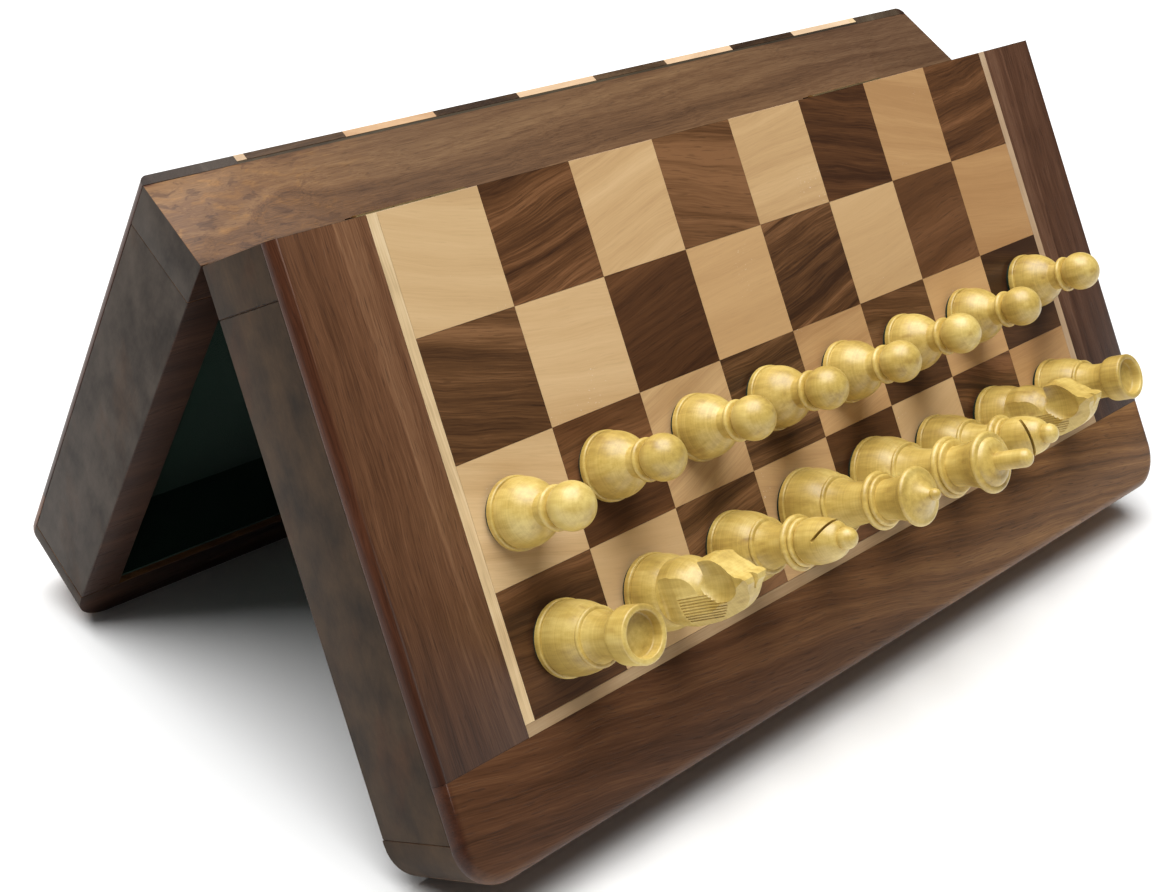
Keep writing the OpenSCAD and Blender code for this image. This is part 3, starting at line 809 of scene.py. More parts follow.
@dataclass(frozen=True)
class Felt(Finish):
    """Short green felt with a fine nap, its own dark green made darker still as painted shade for
    the tent's inside.
    """

    name: str = "green_felt"
    # painted shade: both colours are darker than the felt itself, standing in for the shade inside
    # the tent
    low: Colour = (0.002, 0.012, 0.007)
    high: Colour = (0.008, 0.036, 0.020)

    def shade(self, graph: Graph, spot: Spot, turned: bool) -> Material:
        """Builds the felt's nodes: its nap on slow, cloudy patches.

        Args:
            graph: the finish's empty graph.
            spot: the surface's place in the half's frame.
            turned: not used.

        Returns:
            The finished material.
        """
        x, v, w = spot
        nap = graph.noise(x * 3.0, v * 3.0, w * 3.0, 3.0, 0.75)
        cloud = graph.noise(x * 0.05, v * 0.05, w * 0.05)
        tone = 0.5 + (nap - 0.5) * 0.9 + (cloud - 0.5) * 0.5
        colour = graph.mix(tone, self.low, self.high)
        sheen = {"Sheen Weight": 0.10, "Sheen Roughness": 0.5, "Specular IOR Level": 0.1}
        return graph.finish(colour, 0.95, nap, 0.25, sheen)


@dataclass(frozen=True)
class Metal(Finish):
    """A metal part: brushed along the hinge, a little tarnished."""

    body: Colour
    tarnish: Colour
    roughness: float = 0.28

    def shade(self, graph: Graph, spot: Spot, turned: bool) -> Material:
        """Builds the metal's nodes: the brushing, and stains that dull it.

        Args:
            graph: the finish's empty graph.
            spot: the surface's place in the half's frame.
            turned: not used.

        Returns:
            The finished material.
        """
        x, v, w = spot
        brush = graph.noise(x * 0.5, v * 9.0, w * 9.0, 3.0)
        stain = graph.noise(x * 0.3, v * 0.3, w * 0.3, 3.0, 0.6)
        colour = graph.mix(stain.ramp(0.45, 0.75) * 0.7, self.body, self.tarnish)
        rough = self.roughness + (brush - 0.5) * 0.2 + stain.ramp(0.5, 0.8) * 0.15
        return graph.finish(colour, rough, brush, 0.01, {"Metallic": 1.0})


# --- mesh helpers


def arc(cr: float, cz: float, r: float, a0: float, a1: float, n: int = 8) -> List[Point]:
    """Points on an arc, in radius and height.

    Args:
        cr: the centre's radius.
        cz: the centre's height.
        r: the arc's own radius.
        a0: the angle it starts at, in degrees.
        a1: the angle it ends at.
        n: the number of steps.

    Returns:
        The points, from a0 to a1.
    """
    turns = [math.radians(a0 + (a1 - a0) * i / n) for i in range(n + 1)]
    return [(cr + r * math.cos(t), cz + r * math.sin(t)) for t in turns]


def ring(r: float, z: float, h: float, n: int = 10) -> List[Point]:
    """A half-round ring of radius r, from height z up to z + h."""
    return arc(r - h / 2, z + h / 2, h / 2, -90, 90, n)


def ball(r: float, z: float, low: float, n: int) -> List[Point]:
    """A ball of radius r at height z, from low radii under its middle to its top."""
    return arc(0.0, z, r, -math.degrees(math.asin(low)), 90, n)


def bow(a: Point, c: Point, b: Point, n: int = 10) -> List[Point]:
    """Points on a curve from a to b that is drawn towards c.

    Args:
        a: where the curve starts.
        c: the point that draws it.
        b: where it ends.
        n: the number of steps.

    Returns:
        The points, from a to b.
    """
    steps = [i / n for i in range(n + 1)]
    return [
        tuple((1 - t) ** 2 * p + 2 * t * (1 - t) * q + t * t * r for p, q, r in zip(a, c, b))
        for t in steps
    ]


def moved(bm: Mesh, matrix: Matrix) -> Mesh:
    """The mesh, moved by a matrix."""
    bmesh.ops.transform(bm, matrix=matrix, verts=bm.verts)
    return bm


def revolve(outline: Sequence[Point], steps: int = 80) -> Mesh:
    """Turns an outline of radius and height round the z axis, as a lathe would.

    Args:
        outline: the points, from the axis at the foot to the axis at the top.
        steps: the number of steps round.

    Returns:
        A closed solid.
    """
    bm = bmesh.new()
    verts = [bm.verts.new((r, 0.0, z)) for r, z in outline]
    drawn = verts + [bm.edges.new(pair) for pair in zip(verts, verts[1:])]
    axis, middle = (0.0, 0.0, 1.0), (0.0, 0.0, 0.0)
    bmesh.ops.spin(
        bm, geom=drawn, axis=axis, cent=middle, angle=math.tau, steps=steps, use_merge=True
    )
    bmesh.ops.remove_doubles(bm, verts=bm.verts, dist=1e-4)
    bmesh.ops.recalc_face_normals(bm, faces=bm.faces)
    return bm


def prism(outline: Sequence[Triple], reach: Triple) -> Mesh:
    """A closed solid: a flat outline of corners, drawn out by a reach.

    Args:
        outline: its corners in order.
        reach: how far it is drawn out.

    Returns:
        The solid.
    """
    bm = bmesh.new()
    face = bm.faces.new([bm.verts.new(p) for p in outline])
    drawn = bmesh.ops.extrude_face_region(bm, geom=[face], use_keep_orig=True)
    far = [item for item in drawn["geom"] if isinstance(item, bmesh.types.BMVert)]
    bmesh.ops.translate(bm, vec=reach, verts=far)
    bmesh.ops.recalc_face_normals(bm, faces=bm.faces)
    return bm


def carve(body: Mesh, tool: Mesh, operation: str = "DIFFERENCE") -> Mesh:
    """Cuts a tool's shape out of a solid, or keeps what they share.

    Args:
        body: the solid, which is used up.
        tool: the tool, which is used up.
        operation: the Boolean modifier's operation.

    Returns:
        What is left.
    """
    pair = [new_object("carving", bm) for bm in (body, tool)]
    change = pair[0].modifiers.new("carve", "BOOLEAN")
    change.operation, change.solver, change.object = operation, "EXACT", pair[1]
    ready = pair[0].evaluated_get(bpy.context.evaluated_depsgraph_get())
    left = bmesh.new()
    left.from_mesh(ready.to_mesh())
    ready.to_mesh_clear()
    for holder in pair:
        mesh = holder.data
        bpy.data.objects.remove(holder)
        bpy.data.meshes.remove(mesh)
    return left


def new_object(name: str, bm: Mesh) -> bpy.types.Object:
    """Turns a mesh, which is used up, into a smooth object at the origin.

    Args:
        name: the object's name.
        bm: the mesh, which is used up.

    Returns:
        The object, linked into the scene.
    """
    for face in bm.faces:
        face.smooth = True
    mesh = bpy.data.meshes.new(name)
    bm.to_mesh(mesh)
    bm.free()
    made = bpy.data.objects.new(name, mesh)
    bpy.context.scene.collection.objects.link(made)
    return made


def dress(node: str, material: Material) -> None:
    """Gives a CAD node a material in place of its plain one.

    Args:
        node: the node's name.
        material: its new material.
    """
    data = frame["nodes"][node].data
    data.materials.clear()
    data.materials.append(material)
    LOG.info("%s is finished in %s", node, material.name)


@dataclass
class Piece:
    """A finished piece: a mesh in a half's millimetres, made an object that rides on a body."""

    name: str
    place: HalfPlace
    body: str
    slot: str
    stands_for: Sequence[str]
    sharp_deg: float = 32.0

    def make(self, bm: Mesh, *materials: Material) -> bpy.types.Object:
        """Places the mesh in the frame and gives it its materials and its body.

        Args:
            bm: the mesh, which is used up.
            materials: its materials, in the order of its faces' indices.

        Returns:
            The object.
        """
        made = new_object(self.name, moved(bm, self.place.matrix()))
        made.data.set_sharp_from_angle(angle=math.radians(self.sharp_deg))
        for material in materials:
            made.data.materials.append(material)
        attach(made, self.body)
        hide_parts(*self.stands_for)
        LOG.info("%s: %d faces, rides on %s", self.name, len(made.data.polygons), self.body)
        return made


# --- the box


@dataclass
class Carcass:
    """One half's frame: the two rails, the end walls and the border strips on the face."""

    SLOTS: ClassVar[Dict[str, str]] = {
        "outer_rail": "frame_wood",
        "hinge_rail": "frame_wood",
        "end_walls": "end_wall_wood",
    }
    ENDS: ClassVar[Dict[str, SandedEnd]] = {
        "front": SandedEnd(
            "brown_end",
            low=(0.018, 0.011, 0.006),
            high=(0.065, 0.037, 0.018),
            rust=(1.12, 0.90, 0.78),
            cracked=True,
        ),
        "back": SandedEnd(
            "grey_end",
            low=(0.024, 0.018, 0.014),
            high=(0.078, 0.061, 0.048),
            rust=(1.05, 0.88, 0.76),
            cracked=False,
        ),
    }

    place: HalfPlace
    arris: float = 0.35
    shortest_arris: float = 6.0
    arris_deg: float = 30.0
    end_facing: float = 0.7

    rail: SawnWood = SawnWood(
        "rail_rosewood",
        WoodTone((0.053, 0.024, 0.010), (0.124, 0.062, 0.027), (0.206, 0.116, 0.053)),
        Figure(line_mm=6.0, bands=0.9, wander_mm=6.0, fibres=0.35, pores=0.4),
        slope=0.02,
        drifts=(Tint((1.26, 1.18, 1.04), 62.0, 112.0), Tint((0.78, 0.78, 0.88), -20.0, -110.0)),
        curled_end=(70.0, 118.0),
        roughness=0.42,
    )
    outer_border: SawnWood = SawnWood(
        "outer_border_rosewood",
        WoodTone((0.038, 0.015, 0.006), (0.092, 0.038, 0.016), (0.168, 0.078, 0.033)),
        Figure(line_mm=5.0, bands=0.8, wander_mm=5.0, fibres=0.35),
        slope=-0.16,
        offset=31.0,
        drifts=(Tint((2.10, 2.40, 2.10), -80.0, 110.0),),
    )
    side_border: SawnWood = SawnWood(
        "side_border_rosewood",
        WoodTone((0.057, 0.023, 0.010), (0.132, 0.058, 0.027), (0.236, 0.120, 0.060)),
        Figure(line_mm=7.0, bands=0.6, wander_mm=4.0, fibres=0.45),
        grain=Grain.FROM_HINGE,
        offset=77.0,
        drifts=(Tint((0.75, 0.77, 0.90), -60.0, 60.0), Tint((0.36, 0.33, 0.34), 55.0, 120.0, "v")),
        seam=(112.5, -0.045, 0.16),
    )
    # painted shade: the rims' wood is far darker than the rails', standing in for the shade on the
    # faces towards the floor and the tent's inside
    rim: SawnWood = SawnWood(
        "rim_painted_shade",
        WoodTone((0.018, 0.009, 0.006), (0.040, 0.018, 0.011), (0.080, 0.038, 0.022)),
        Figure(line_mm=5.0, bands=0.6, wander_mm=4.0, fibres=0.4),
        offset=91.0,
        roughness=0.5,
    )

    def build(self) -> None:
        """Makes the softened rails, end walls and border strips and dresses them."""
        finishes = (self.rail, self.ENDS[self.place.name], self.rim)
        woods = [finish.material(self.place) for finish in finishes]
        for part, slot in self.SLOTS.items():
            bm = self._soft_copy(part)
            for face in bm.faces:
                face.material_index = self._side(face.normal)
            self._piece(part, slot).make(bm, *woods)
        bm = self._soft_copy("border_strips")
        for face in bm.faces:
            face.material_index = int(-face.calc_center_median().y > SIZES.line_v)
        woods = [finish.material(self.place) for finish in (self.side_border, self.outer_border)]
        self._piece("border_strips", "border_wood").make(bm, *woods)

    def _side(self, normal: Vector) -> int:
        """The finish of a face: 0 the rails' wood, 1 the sanded end, 2 the rim, darkened as painted
        shade.

        Args:
            normal: the face's normal in the half's frame.

        Returns:
            The index of its material.
        """
        if abs(normal.x) > self.end_facing:
            return 1
        return 2 if normal.z < -self.end_facing else 0

    def _piece(self, part: str, slot: str) -> Piece:
        """The named piece that stands for a CAD node of this half."""
        node = self.place.node(part)
        return Piece(f"{node}_wood", self.place, self.place.body(), slot, (node,))

    def _soft_copy(self, part: str) -> Mesh:
        """A copy of a CAD node in the half's millimetres, with its arrises softened.

        Args:
            part: the node's name without its half's.

        Returns:
            The copy, with up-to-date face normals.
        """
        bm = bmesh.new()
        bm.from_mesh(frame["nodes"][self.place.node(part)].data)
        moved(bm, self.place.matrix().inverted())
        bmesh.ops.remove_doubles(bm, verts=bm.verts, dist=0.002)
        level = math.radians(0.3)
        bmesh.ops.dissolve_limit(bm, angle_limit=level, verts=bm.verts, edges=bm.edges)
        sharp = math.radians(self.arris_deg)
        arrises = [e for e in bm.edges if e.is_manifold and e.calc_face_angle() > sharp]
        arrises = [e for e in arrises if e.calc_length() > self.shortest_arris]
        bmesh.ops.bevel(
            bm,
            geom=arrises,
            offset=self.arris,
            segments=2,
            profile=0.5,
            affect="EDGES",
            clamp_overlap=True,
            material=-1,
        )
        bm.normal_update()
        return bm


@dataclass
class BoardFace:
    """One half's inlay: the dark and the light squares and the pale line round them."""

    place: HalfPlace
    dark: Veneer = Veneer(
        "dark_veneer",
        WoodTone((0.044, 0.020, 0.009), (0.112, 0.053, 0.021), (0.230, 0.117, 0.051)),
        Figure(line_mm=5.0, bands=0.9, wander_mm=6.0, fibres=0.40, pores=0.6),
        warm=(1.08, 0.94, 0.90),
        sawn=(0.50, 0.62, 0.75),
        spread=0.5,
        seed=3491,
    )
    light: Veneer = Veneer(
        "light_veneer",
        WoodTone((0.45, 0.280, 0.135), (0.60, 0.405, 0.205), (0.71, 0.510, 0.280)),
        Figure(line_mm=6.0, bands=0.55, wander_mm=5.0, fibres=0.22, pores=0.15),
        warm=(0.96, 0.84, 0.72),
        sawn=(1.15, 1.25, 1.60),
        spread=0.40,
        seed=27828,
        ageing=0.65,
        scuffs=True,
    )
    line: PaleLine = PaleLine(
        "pale_line_maple",
        (
            WoodTone((0.46, 0.320, 0.170), (0.68, 0.500, 0.280), (0.82, 0.65, 0.42)),
            WoodTone((0.34, 0.220, 0.130), (0.48, 0.330, 0.200), (0.60, 0.44, 0.29)),
            WoodTone((0.24, 0.150, 0.075), (0.36, 0.235, 0.125), (0.47, 0.34, 0.20)),
        ),
        Figure(line_mm=3.0, bands=0.4, wander_mm=2.0, fibres=0.3, pores=0.2),
    )

    def build(self) -> None:
        """Dresses the inlay's nodes."""
        woods = {"dark_squares": self.dark, "light_squares": self.light, "pale_line": self.line}
        for part, wood in woods.items():
            dress(self.place.node(part), wood.material(self.place))


@dataclass
class TrayLining:
    """The felt inside one half: its floor and its four walls, cut and laid as one sheet."""

    place: HalfPlace
    half_x: float = 117.0
    v0: float = 11.0
    v1: float = 116.0
    rim_w: float = 1.65
    floor_w: float = 19.5
    clear: float = 0.03
    thickness: float = 0.9
    fold_r: float = 0.7
    swell: float = 0.12
    flat: Point = (0.268, 0.139)
    flat_area: float = 0.0361

    def build(self) -> None:
        """Makes the felt tray, open towards the rim, with softly rounded folds."""
        bm = bmesh.new()
        bmesh.ops.create_cube(bm, size=1.0)
        size = (
            2 * (self.half_x - self.clear),
            self.v1 - self.v0 - 2 * self.clear,
            self.floor_w - self.rim_w - self.clear,
        )
        middle = (0.0, -(self.v0 + self.v1) / 2, (self.rim_w + self.floor_w - self.clear) / 2)
        bmesh.ops.scale(bm, vec=size, verts=bm.verts)
        bmesh.ops.translate(bm, vec=middle, verts=bm.verts)
        bm.normal_update()
        opening = [face for face in bm.faces if face.normal.z < -0.9]
        bmesh.ops.delete(bm, geom=opening, context="FACES_ONLY")
        folds = [edge for edge in bm.edges if edge.is_manifold]
        bmesh.ops.bevel(
            bm, geom=folds, offset=self.fold_r, segments=3, profile=0.5, affect="EDGES", material=-1
        )
        bmesh.ops.triangulate(bm, faces=[f for f in bm.faces if len(f.verts) > 4])
        long_edges = [edge for edge in bm.edges if edge.calc_length() > 8.0]
        bmesh.ops.subdivide_edges(bm, edges=long_edges, cuts=20, use_grid_fill=True)
        bm.normal_update()
        for vert in bm.verts:
            rise = noise.noise(vert.co * 0.11) * self.swell
            vert.co -= vert.normal * (abs(rise) + 0.01)
        bmesh.ops.recalc_face_normals(bm, faces=bm.faces)
        bmesh.ops.solidify(bm, geom=bm.faces[:], thickness=self.thickness)
        bmesh.ops.recalc_face_normals(bm, faces=bm.faces)
        node = self.place.node("lining")
        piece = Piece(f"{node}_felt", self.place, self.place.body(), "lining_felt", (node,), 60.0)
        made = piece.make(bm, Felt().material(self.place))
        self.place.node("panel")


@dataclass
class Fittings:
    """One half's hidden board and its metal: sheet, magnets, hinge leaves, screws and pins."""

    place: HalfPlace
    brass: Metal = Metal("brass", (0.76, 0.56, 0.26), (0.36, 0.23, 0.10))
    steel: Metal = Metal("steel", (0.56, 0.57, 0.58), (0.32, 0.30, 0.28), 0.35)
    nickel: Metal = Metal("nickel", (0.66, 0.66, 0.64), (0.45, 0.44, 0.42), 0.22)
    birch: SawnWood = SawnWood(
        "birch_panel",
        WoodTone((0.40, 0.27, 0.15), (0.56, 0.41, 0.24), (0.68, 0.53, 0.34)),
        Figure(line_mm=9.0, bands=0.4, wander_mm=8.0, fibres=0.2, pores=0.2),
        offset=5.0,
        roughness=0.6,
    )

    def build(self) -> None:
        """Dresses the nodes that are kept as the CAD model has them."""
        brass = self.brass.material(self.place)
        for part in ("hinge_leaves", "hinge_screws"):
            dress(self.place.node(part), brass)
        kept = {"steel_sheet": self.steel, "catch_magnets": self.nickel, "panel": self.birch}
        for part, finish in kept.items():
            dress(self.place.node(part), finish.material(self.place))
        if not self.place.turned:
            dress("hinge_pins", brass)


# --- the men


@dataclass
class Man:
    """A turned man: its base, and what its kind adds above the bell."""

    node: str
    base_r: float
    felt_h: float = 0.8
    felt_inset: float = 0.5
    band_h: float = 1.6
    groove_h: float = 0.5
    groove_d: float = 0.6
    bell_h: float = 8.0
    bead_h: float = 1.0
    magnet_r: float = 4.0
    magnet_h: float = 2.5
    magnet_fit: float = 0.05

    @property
    def bell_z(self) -> float:
        """The height of the bell's top above the square."""
        return self.felt_h + self.band_h + self.groove_h + self.bell_h

    def foot(self, top_r: float) -> List[Point]:
        """The base's outline: the magnet's bore, the band, the groove and the bell.

        Args:
            top_r: the bell's radius at its top.

        Returns:
            The points, from the bore's roof on the axis to the bell's top.
        """
        bore_r = self.magnet_r + self.magnet_fit
        z0, z1 = self.felt_h, self.felt_h + self.band_h
        z2, r, ease = z1 + self.groove_h, self.base_r, self.band_h / 4
        bore_z, deep = z0 + self.magnet_h + 2 * self.magnet_fit, r - self.groove_d
        bell = self.bell_h
        return (
            [(0.0, bore_z), (bore_r, bore_z), (bore_r, z0)]
            + arc(r - ease, z0 + ease, ease, -90, 0, 4)
            + arc(r - ease, z1 - ease, ease, 0, 80, 4)
            + bow((deep, z1), (deep - 0.1, (z1 + z2) / 2), (deep, z2), 4)
            + bow((r - ease, z2), (r - ease / 2, z2 + bell * 0.6), (top_r, z2 + bell), 18)
        )

    def bead(self, r: float, z: float) -> List[Point]:
        """A rounded bead on top of the bell."""
        return ring(r + self.bead_h / 4, z, self.bead_h, 8)

    def outline(self) -> List[Point]:
        """The outline that the lathe follows."""
        raise NotImplementedError

    def solid(self) -> Mesh:
        """The man's solid, standing on z = 0, in millimetres."""
        return revolve(self.outline())

    def build(self, place: HalfPlace, wood: Material, under: "Underside") -> None:
        """Makes the man and what is under it, and stands it where the CAD model has it.

        Args:
            place: the half that it stands on.
            wood: the men's finish.
            under: the felt and the magnet under each man.
        """
        seat = Matrix.Translation(self._seat(place))
        piece = Piece(f"{self.node}_turned", place, self.node, "men_wood", (self.node,))
        piece.make(moved(self.solid(), seat), wood)
        under.build(self, place, seat)

    def _seat(self, place: HalfPlace) -> Vector:
        """The middle of the man's foot in the half's millimetres, read from the frame.

        Args:
            place: the half that it stands on.

        Returns:
            The place of its foot.
        """
        to_half = place.matrix().inverted()
        points = [to_half @ vert.co for vert in frame["nodes"][f"{self.node}_base"].data.vertices]
        lows = [min(p[i] for p in points) for i in range(3)]
        highs = [max(p[i] for p in points) for i in range(3)]
        return Vector(((lows[0] + highs[0]) / 2, (lows[1] + highs[1]) / 2, lows[2]))


@dataclass
class Underside:
    """What is under every man: a felt disc, and the magnet in the base's bore."""

    felt: Material
    nickel: Material
    ease: float = 0.2

    def build(self, man: Man, place: HalfPlace, seat: Matrix) -> None:
        """Makes both for one man.

        Args:
            man: the man.
            place: the half that it stands on.
            seat: the place of its foot.
        """
        base, ease = f"{man.node}_base", self.ease
        r, h = man.base_r - man.felt_inset, man.felt_h
        disc = revolve(
            [(0.0, 0.0), (r - ease, 0.0)] + arc(r - ease, ease, ease, -80, 0, 3)
            + arc(r - ease, h - ease, ease, 0, 80, 3) + [(r - ease, h), (0.0, h)]
        )
        piece = Piece(f"{man.node}_felt", place, man.node, "men_felt", (base,))
        pad = piece.make(moved(disc, seat), self.felt)
        z0, mr = h + man.magnet_fit, man.magnet_r
        z1 = z0 + man.magnet_h
        side = [(mr - ease, z0), (mr, z0 + ease), (mr, z1 - ease), (mr - ease, z1)]
        plug = moved(revolve([(0.0, z0)] + side + [(0.0, z1)]), seat)
        Piece(f"{man.node}_magnet", place, man.node, "magnet", (base,)).make(plug, self.nickel)


@dataclass
class Pawn(Man):
    """A pawn: a bell, a thin collar and a ball."""

    height: float = 22.8
    bell_h: float = 7.5
    neck_r: float = 3.2
    collar_r: float = 4.5
    collar_h: float = 1.3
    ball_r: float = 4.8

    def outline(self) -> List[Point]:
        """The pawn's outline.

        Returns:
            The points, from the foot on the axis to the top on the axis.
        """
        ball_z = self.height - self.ball_r
        neck_z = ball_z - 0.8 * self.ball_r - self.collar_h
        return (
            self.foot(self.neck_r + 0.3)
            + [(self.neck_r, max(self.bell_z + 0.4, neck_z - 0.8))]
            + [(self.neck_r, max(self.bell_z + 0.6, neck_z))]
            + ring(self.collar_r, neck_z, self.collar_h)
            + ball(self.ball_r, ball_z, 0.8, 30)
        )


@dataclass
class Rook(Man):
    """A rook: a bell, a bead, a waisted neck and a plain cup."""

    height: float = 24.5
    neck_r: float = 4.3
    cup_r: float = 5.7
    cup_h: float = 5.0
    cup_wall: float = 1.3
    cup_d: float = 2.5

    def outline(self) -> List[Point]:
        """The rook's outline.

        Returns:
            The points, from the foot on the axis to the top on the axis.
        """
        cup_z, neck = self.height - self.cup_h, self.neck_r
        bead_r, inner, top = neck + 1.5, self.cup_r - self.cup_wall, self.height
        shoulder = (neck + 0.4, cup_z - 1.0)
        waist = (neck - 0.4, (self.bell_z + cup_z) / 2)
        return (
            self.foot(bead_r)
            + self.bead(bead_r, self.bell_z)
            + bow((neck + 0.9, self.bell_z + self.bead_h), waist, shoulder, 14)
            + bow(shoulder, (self.cup_r, cup_z - 0.6), (self.cup_r, cup_z + 1.0), 10)
            + arc(self.cup_r - 0.4, top - 0.4, 0.4, 0, 90, 5)
            + arc(inner + 0.3, top - 0.3, 0.3, 90, 180, 4)
            + arc(inner - 0.4, top - self.cup_d + 0.4, 0.4, 0, -90, 4)
            + [(0.0, top - self.cup_d)]
        )


@dataclass
class Courtier(Man):
    """A tall man with a waisted stem and a double collar: bishop, queen and king."""

    neck_r: float = 4.0
    collar_z: float = 20.0
    collar_r: float = 6.0
    bead_over_neck: float = 2.2
    collar_h: float = 1.6
    ring_h: float = 1.1

    @property
    def collar_top(self) -> float:
        """The height of the collar's smaller ring's top."""
        return self.collar_z + self.collar_h / 2 + self.ring_h

    def stand(self) -> List[Point]:
        """The outline from the foot to the collar's top.

        Returns:
            The points, from the foot on the axis to the smaller ring's top.
        """
        neck, z0 = self.neck_r, self.bell_z + self.bead_h
        bead_r, z1 = neck + self.bead_over_neck, self.collar_z - self.collar_h / 2
        return (
            self.foot(bead_r)
            + self.bead(bead_r, self.bell_z)
            + bow((bead_r - 0.7, z0), (neck, z0 + (z1 - z0) * 0.35), (neck, z1), 14)
            + ring(self.collar_r, z1, self.collar_h)
            + ring(self.collar_r - self.collar_h / 2, z1 + self.collar_h, self.ring_h, 8)
        )

    def crown_rim(self, r: float, z: float, rim_h: float) -> List[Point]:
        """The stem's flare up to a crown's rounded rim.

        Args:
            r: the rim's radius.
            z: its lower edge.
            rim_h: its height.

        Returns:
            The points, from the collar's top to the rim's top.
        """
        neck, z0 = self.neck_r, self.collar_top
        return bow((neck, z0), (neck, (z0 + z) / 2), (r - 0.7, z), 14) + ring(r, z, rim_h)


@dataclass
class Bishop(Courtier):
    """A bishop: a mitre with a slanted slit and a ball."""

    height: float = 35.4
    neck_r: float = 3.9
    collar_z: float = 20.2
    collar_r: float = 5.9
    bead_over_neck: float = 1.9
    mitre_r: float = 4.9
    ball_r: float = 2.3
    slit_w: float = 0.6
    slit_in: float = 1.7
    slit_rise: float = 0.8
    slit_lean: float = 40.0
    turn: float = 0.0

    def _mitre(self) -> Tuple[float, float]:
        """The heights of the mitre's widest place and of its ball's middle."""
        ball_z = self.height - self.ball_r
        return self.collar_top + (ball_z - self.collar_top) * 0.3, ball_z

    def outline(self) -> List[Point]:
        """The bishop's outline.

        Returns:
            The points, from the foot on the axis to the top on the axis.
        """
        (wide_z, ball_z), r, z0 = self._mitre(), self.mitre_r, self.collar_top
        tip = (self.ball_r * 0.92, ball_z - self.ball_r * 0.4)
        return (
            self.stand()
            + bow((r - 0.9, z0), (r, z0 + 0.6), (r, wide_z), 10)
            + bow((r, wide_z), (r * 0.92, ball_z - 1.6), tip, 14)
            + ball(self.ball_r, ball_z, 0.4, 14)
        )

    def solid(self) -> Mesh:
        """The turned bishop with its slit sawn in.

        Returns:
            The solid, standing on z = 0, in millimetres.
        """
        w, long, z = self.slit_w / 2, self.mitre_r + 1.0, self.slit_in
        corners = [(-w, -long, z), (w, -long, z), (w, long, z), (-w, long, z)]
        lean = (
            Matrix.Rotation(math.radians(self.turn), 4, "Z")
            @ Matrix.Translation((0.0, 0.0, self._mitre()[0] + self.slit_rise))
            @ Matrix.Rotation(math.radians(self.slit_lean), 4, "Y")
        )
        return carve(super().solid(), moved(prism(corners, (0.0, 0.0, 2 * self.mitre_r)), lean))


@dataclass
class Queen(Courtier):
    """The queen: a flared coronet with a small ball."""

    height: float = 38.6
    neck_r: float = 4.4
    collar_z: float = 22.8
    collar_r: float = 6.4
    crown_z: float = 32.0
    crown_r: float = 6.4
    crown_h: float = 1.6
    ball_r: float = 1.3

    def outline(self) -> List[Point]:
        """The queen's outline.

        Returns:
            The points, from the foot on the axis to the top on the axis.
        """
        rim_z, ball_z = self.crown_z + self.crown_h, self.height - self.ball_r
        tip = (self.ball_r * 0.8, ball_z - self.ball_r * 0.6)
        return (
            self.stand()
            + self.crown_rim(self.crown_r, self.crown_z, self.crown_h)
            + bow((self.crown_r - 1.4, rim_z), (self.ball_r + 1.4, rim_z + 1.0), tip, 12)
            + ball(self.ball_r, ball_z, 0.6, 12)
        )


@dataclass
class King(Courtier):
    """The king: a flared crown with a rounded peg."""

    height: float = 44.7
    neck_r: float = 4.6
    collar_z: float = 22.8
    collar_r: float = 7.0
    crown_z: float = 32.8
    crown_r: float = 6.9
    crown_h: float = 1.6
    peg_r: float = 2.1

    def outline(self) -> List[Point]:
        """The king's outline.

        Returns:
            The points, from the foot on the axis to the top on the axis.
        """
        r, peg, z = self.crown_r, self.peg_r, self.crown_z + self.crown_h
        return (
            self.stand()
            + self.crown_rim(r, self.crown_z, self.crown_h)
            + bow((r - 1.4, z), (r - 2.0, z + 1.2), (peg + 1.0, z + 1.2), 8)
            + [(peg, z + 1.6)]
            + arc(0.0, self.height - peg, peg, 0, 90, 12)
        )


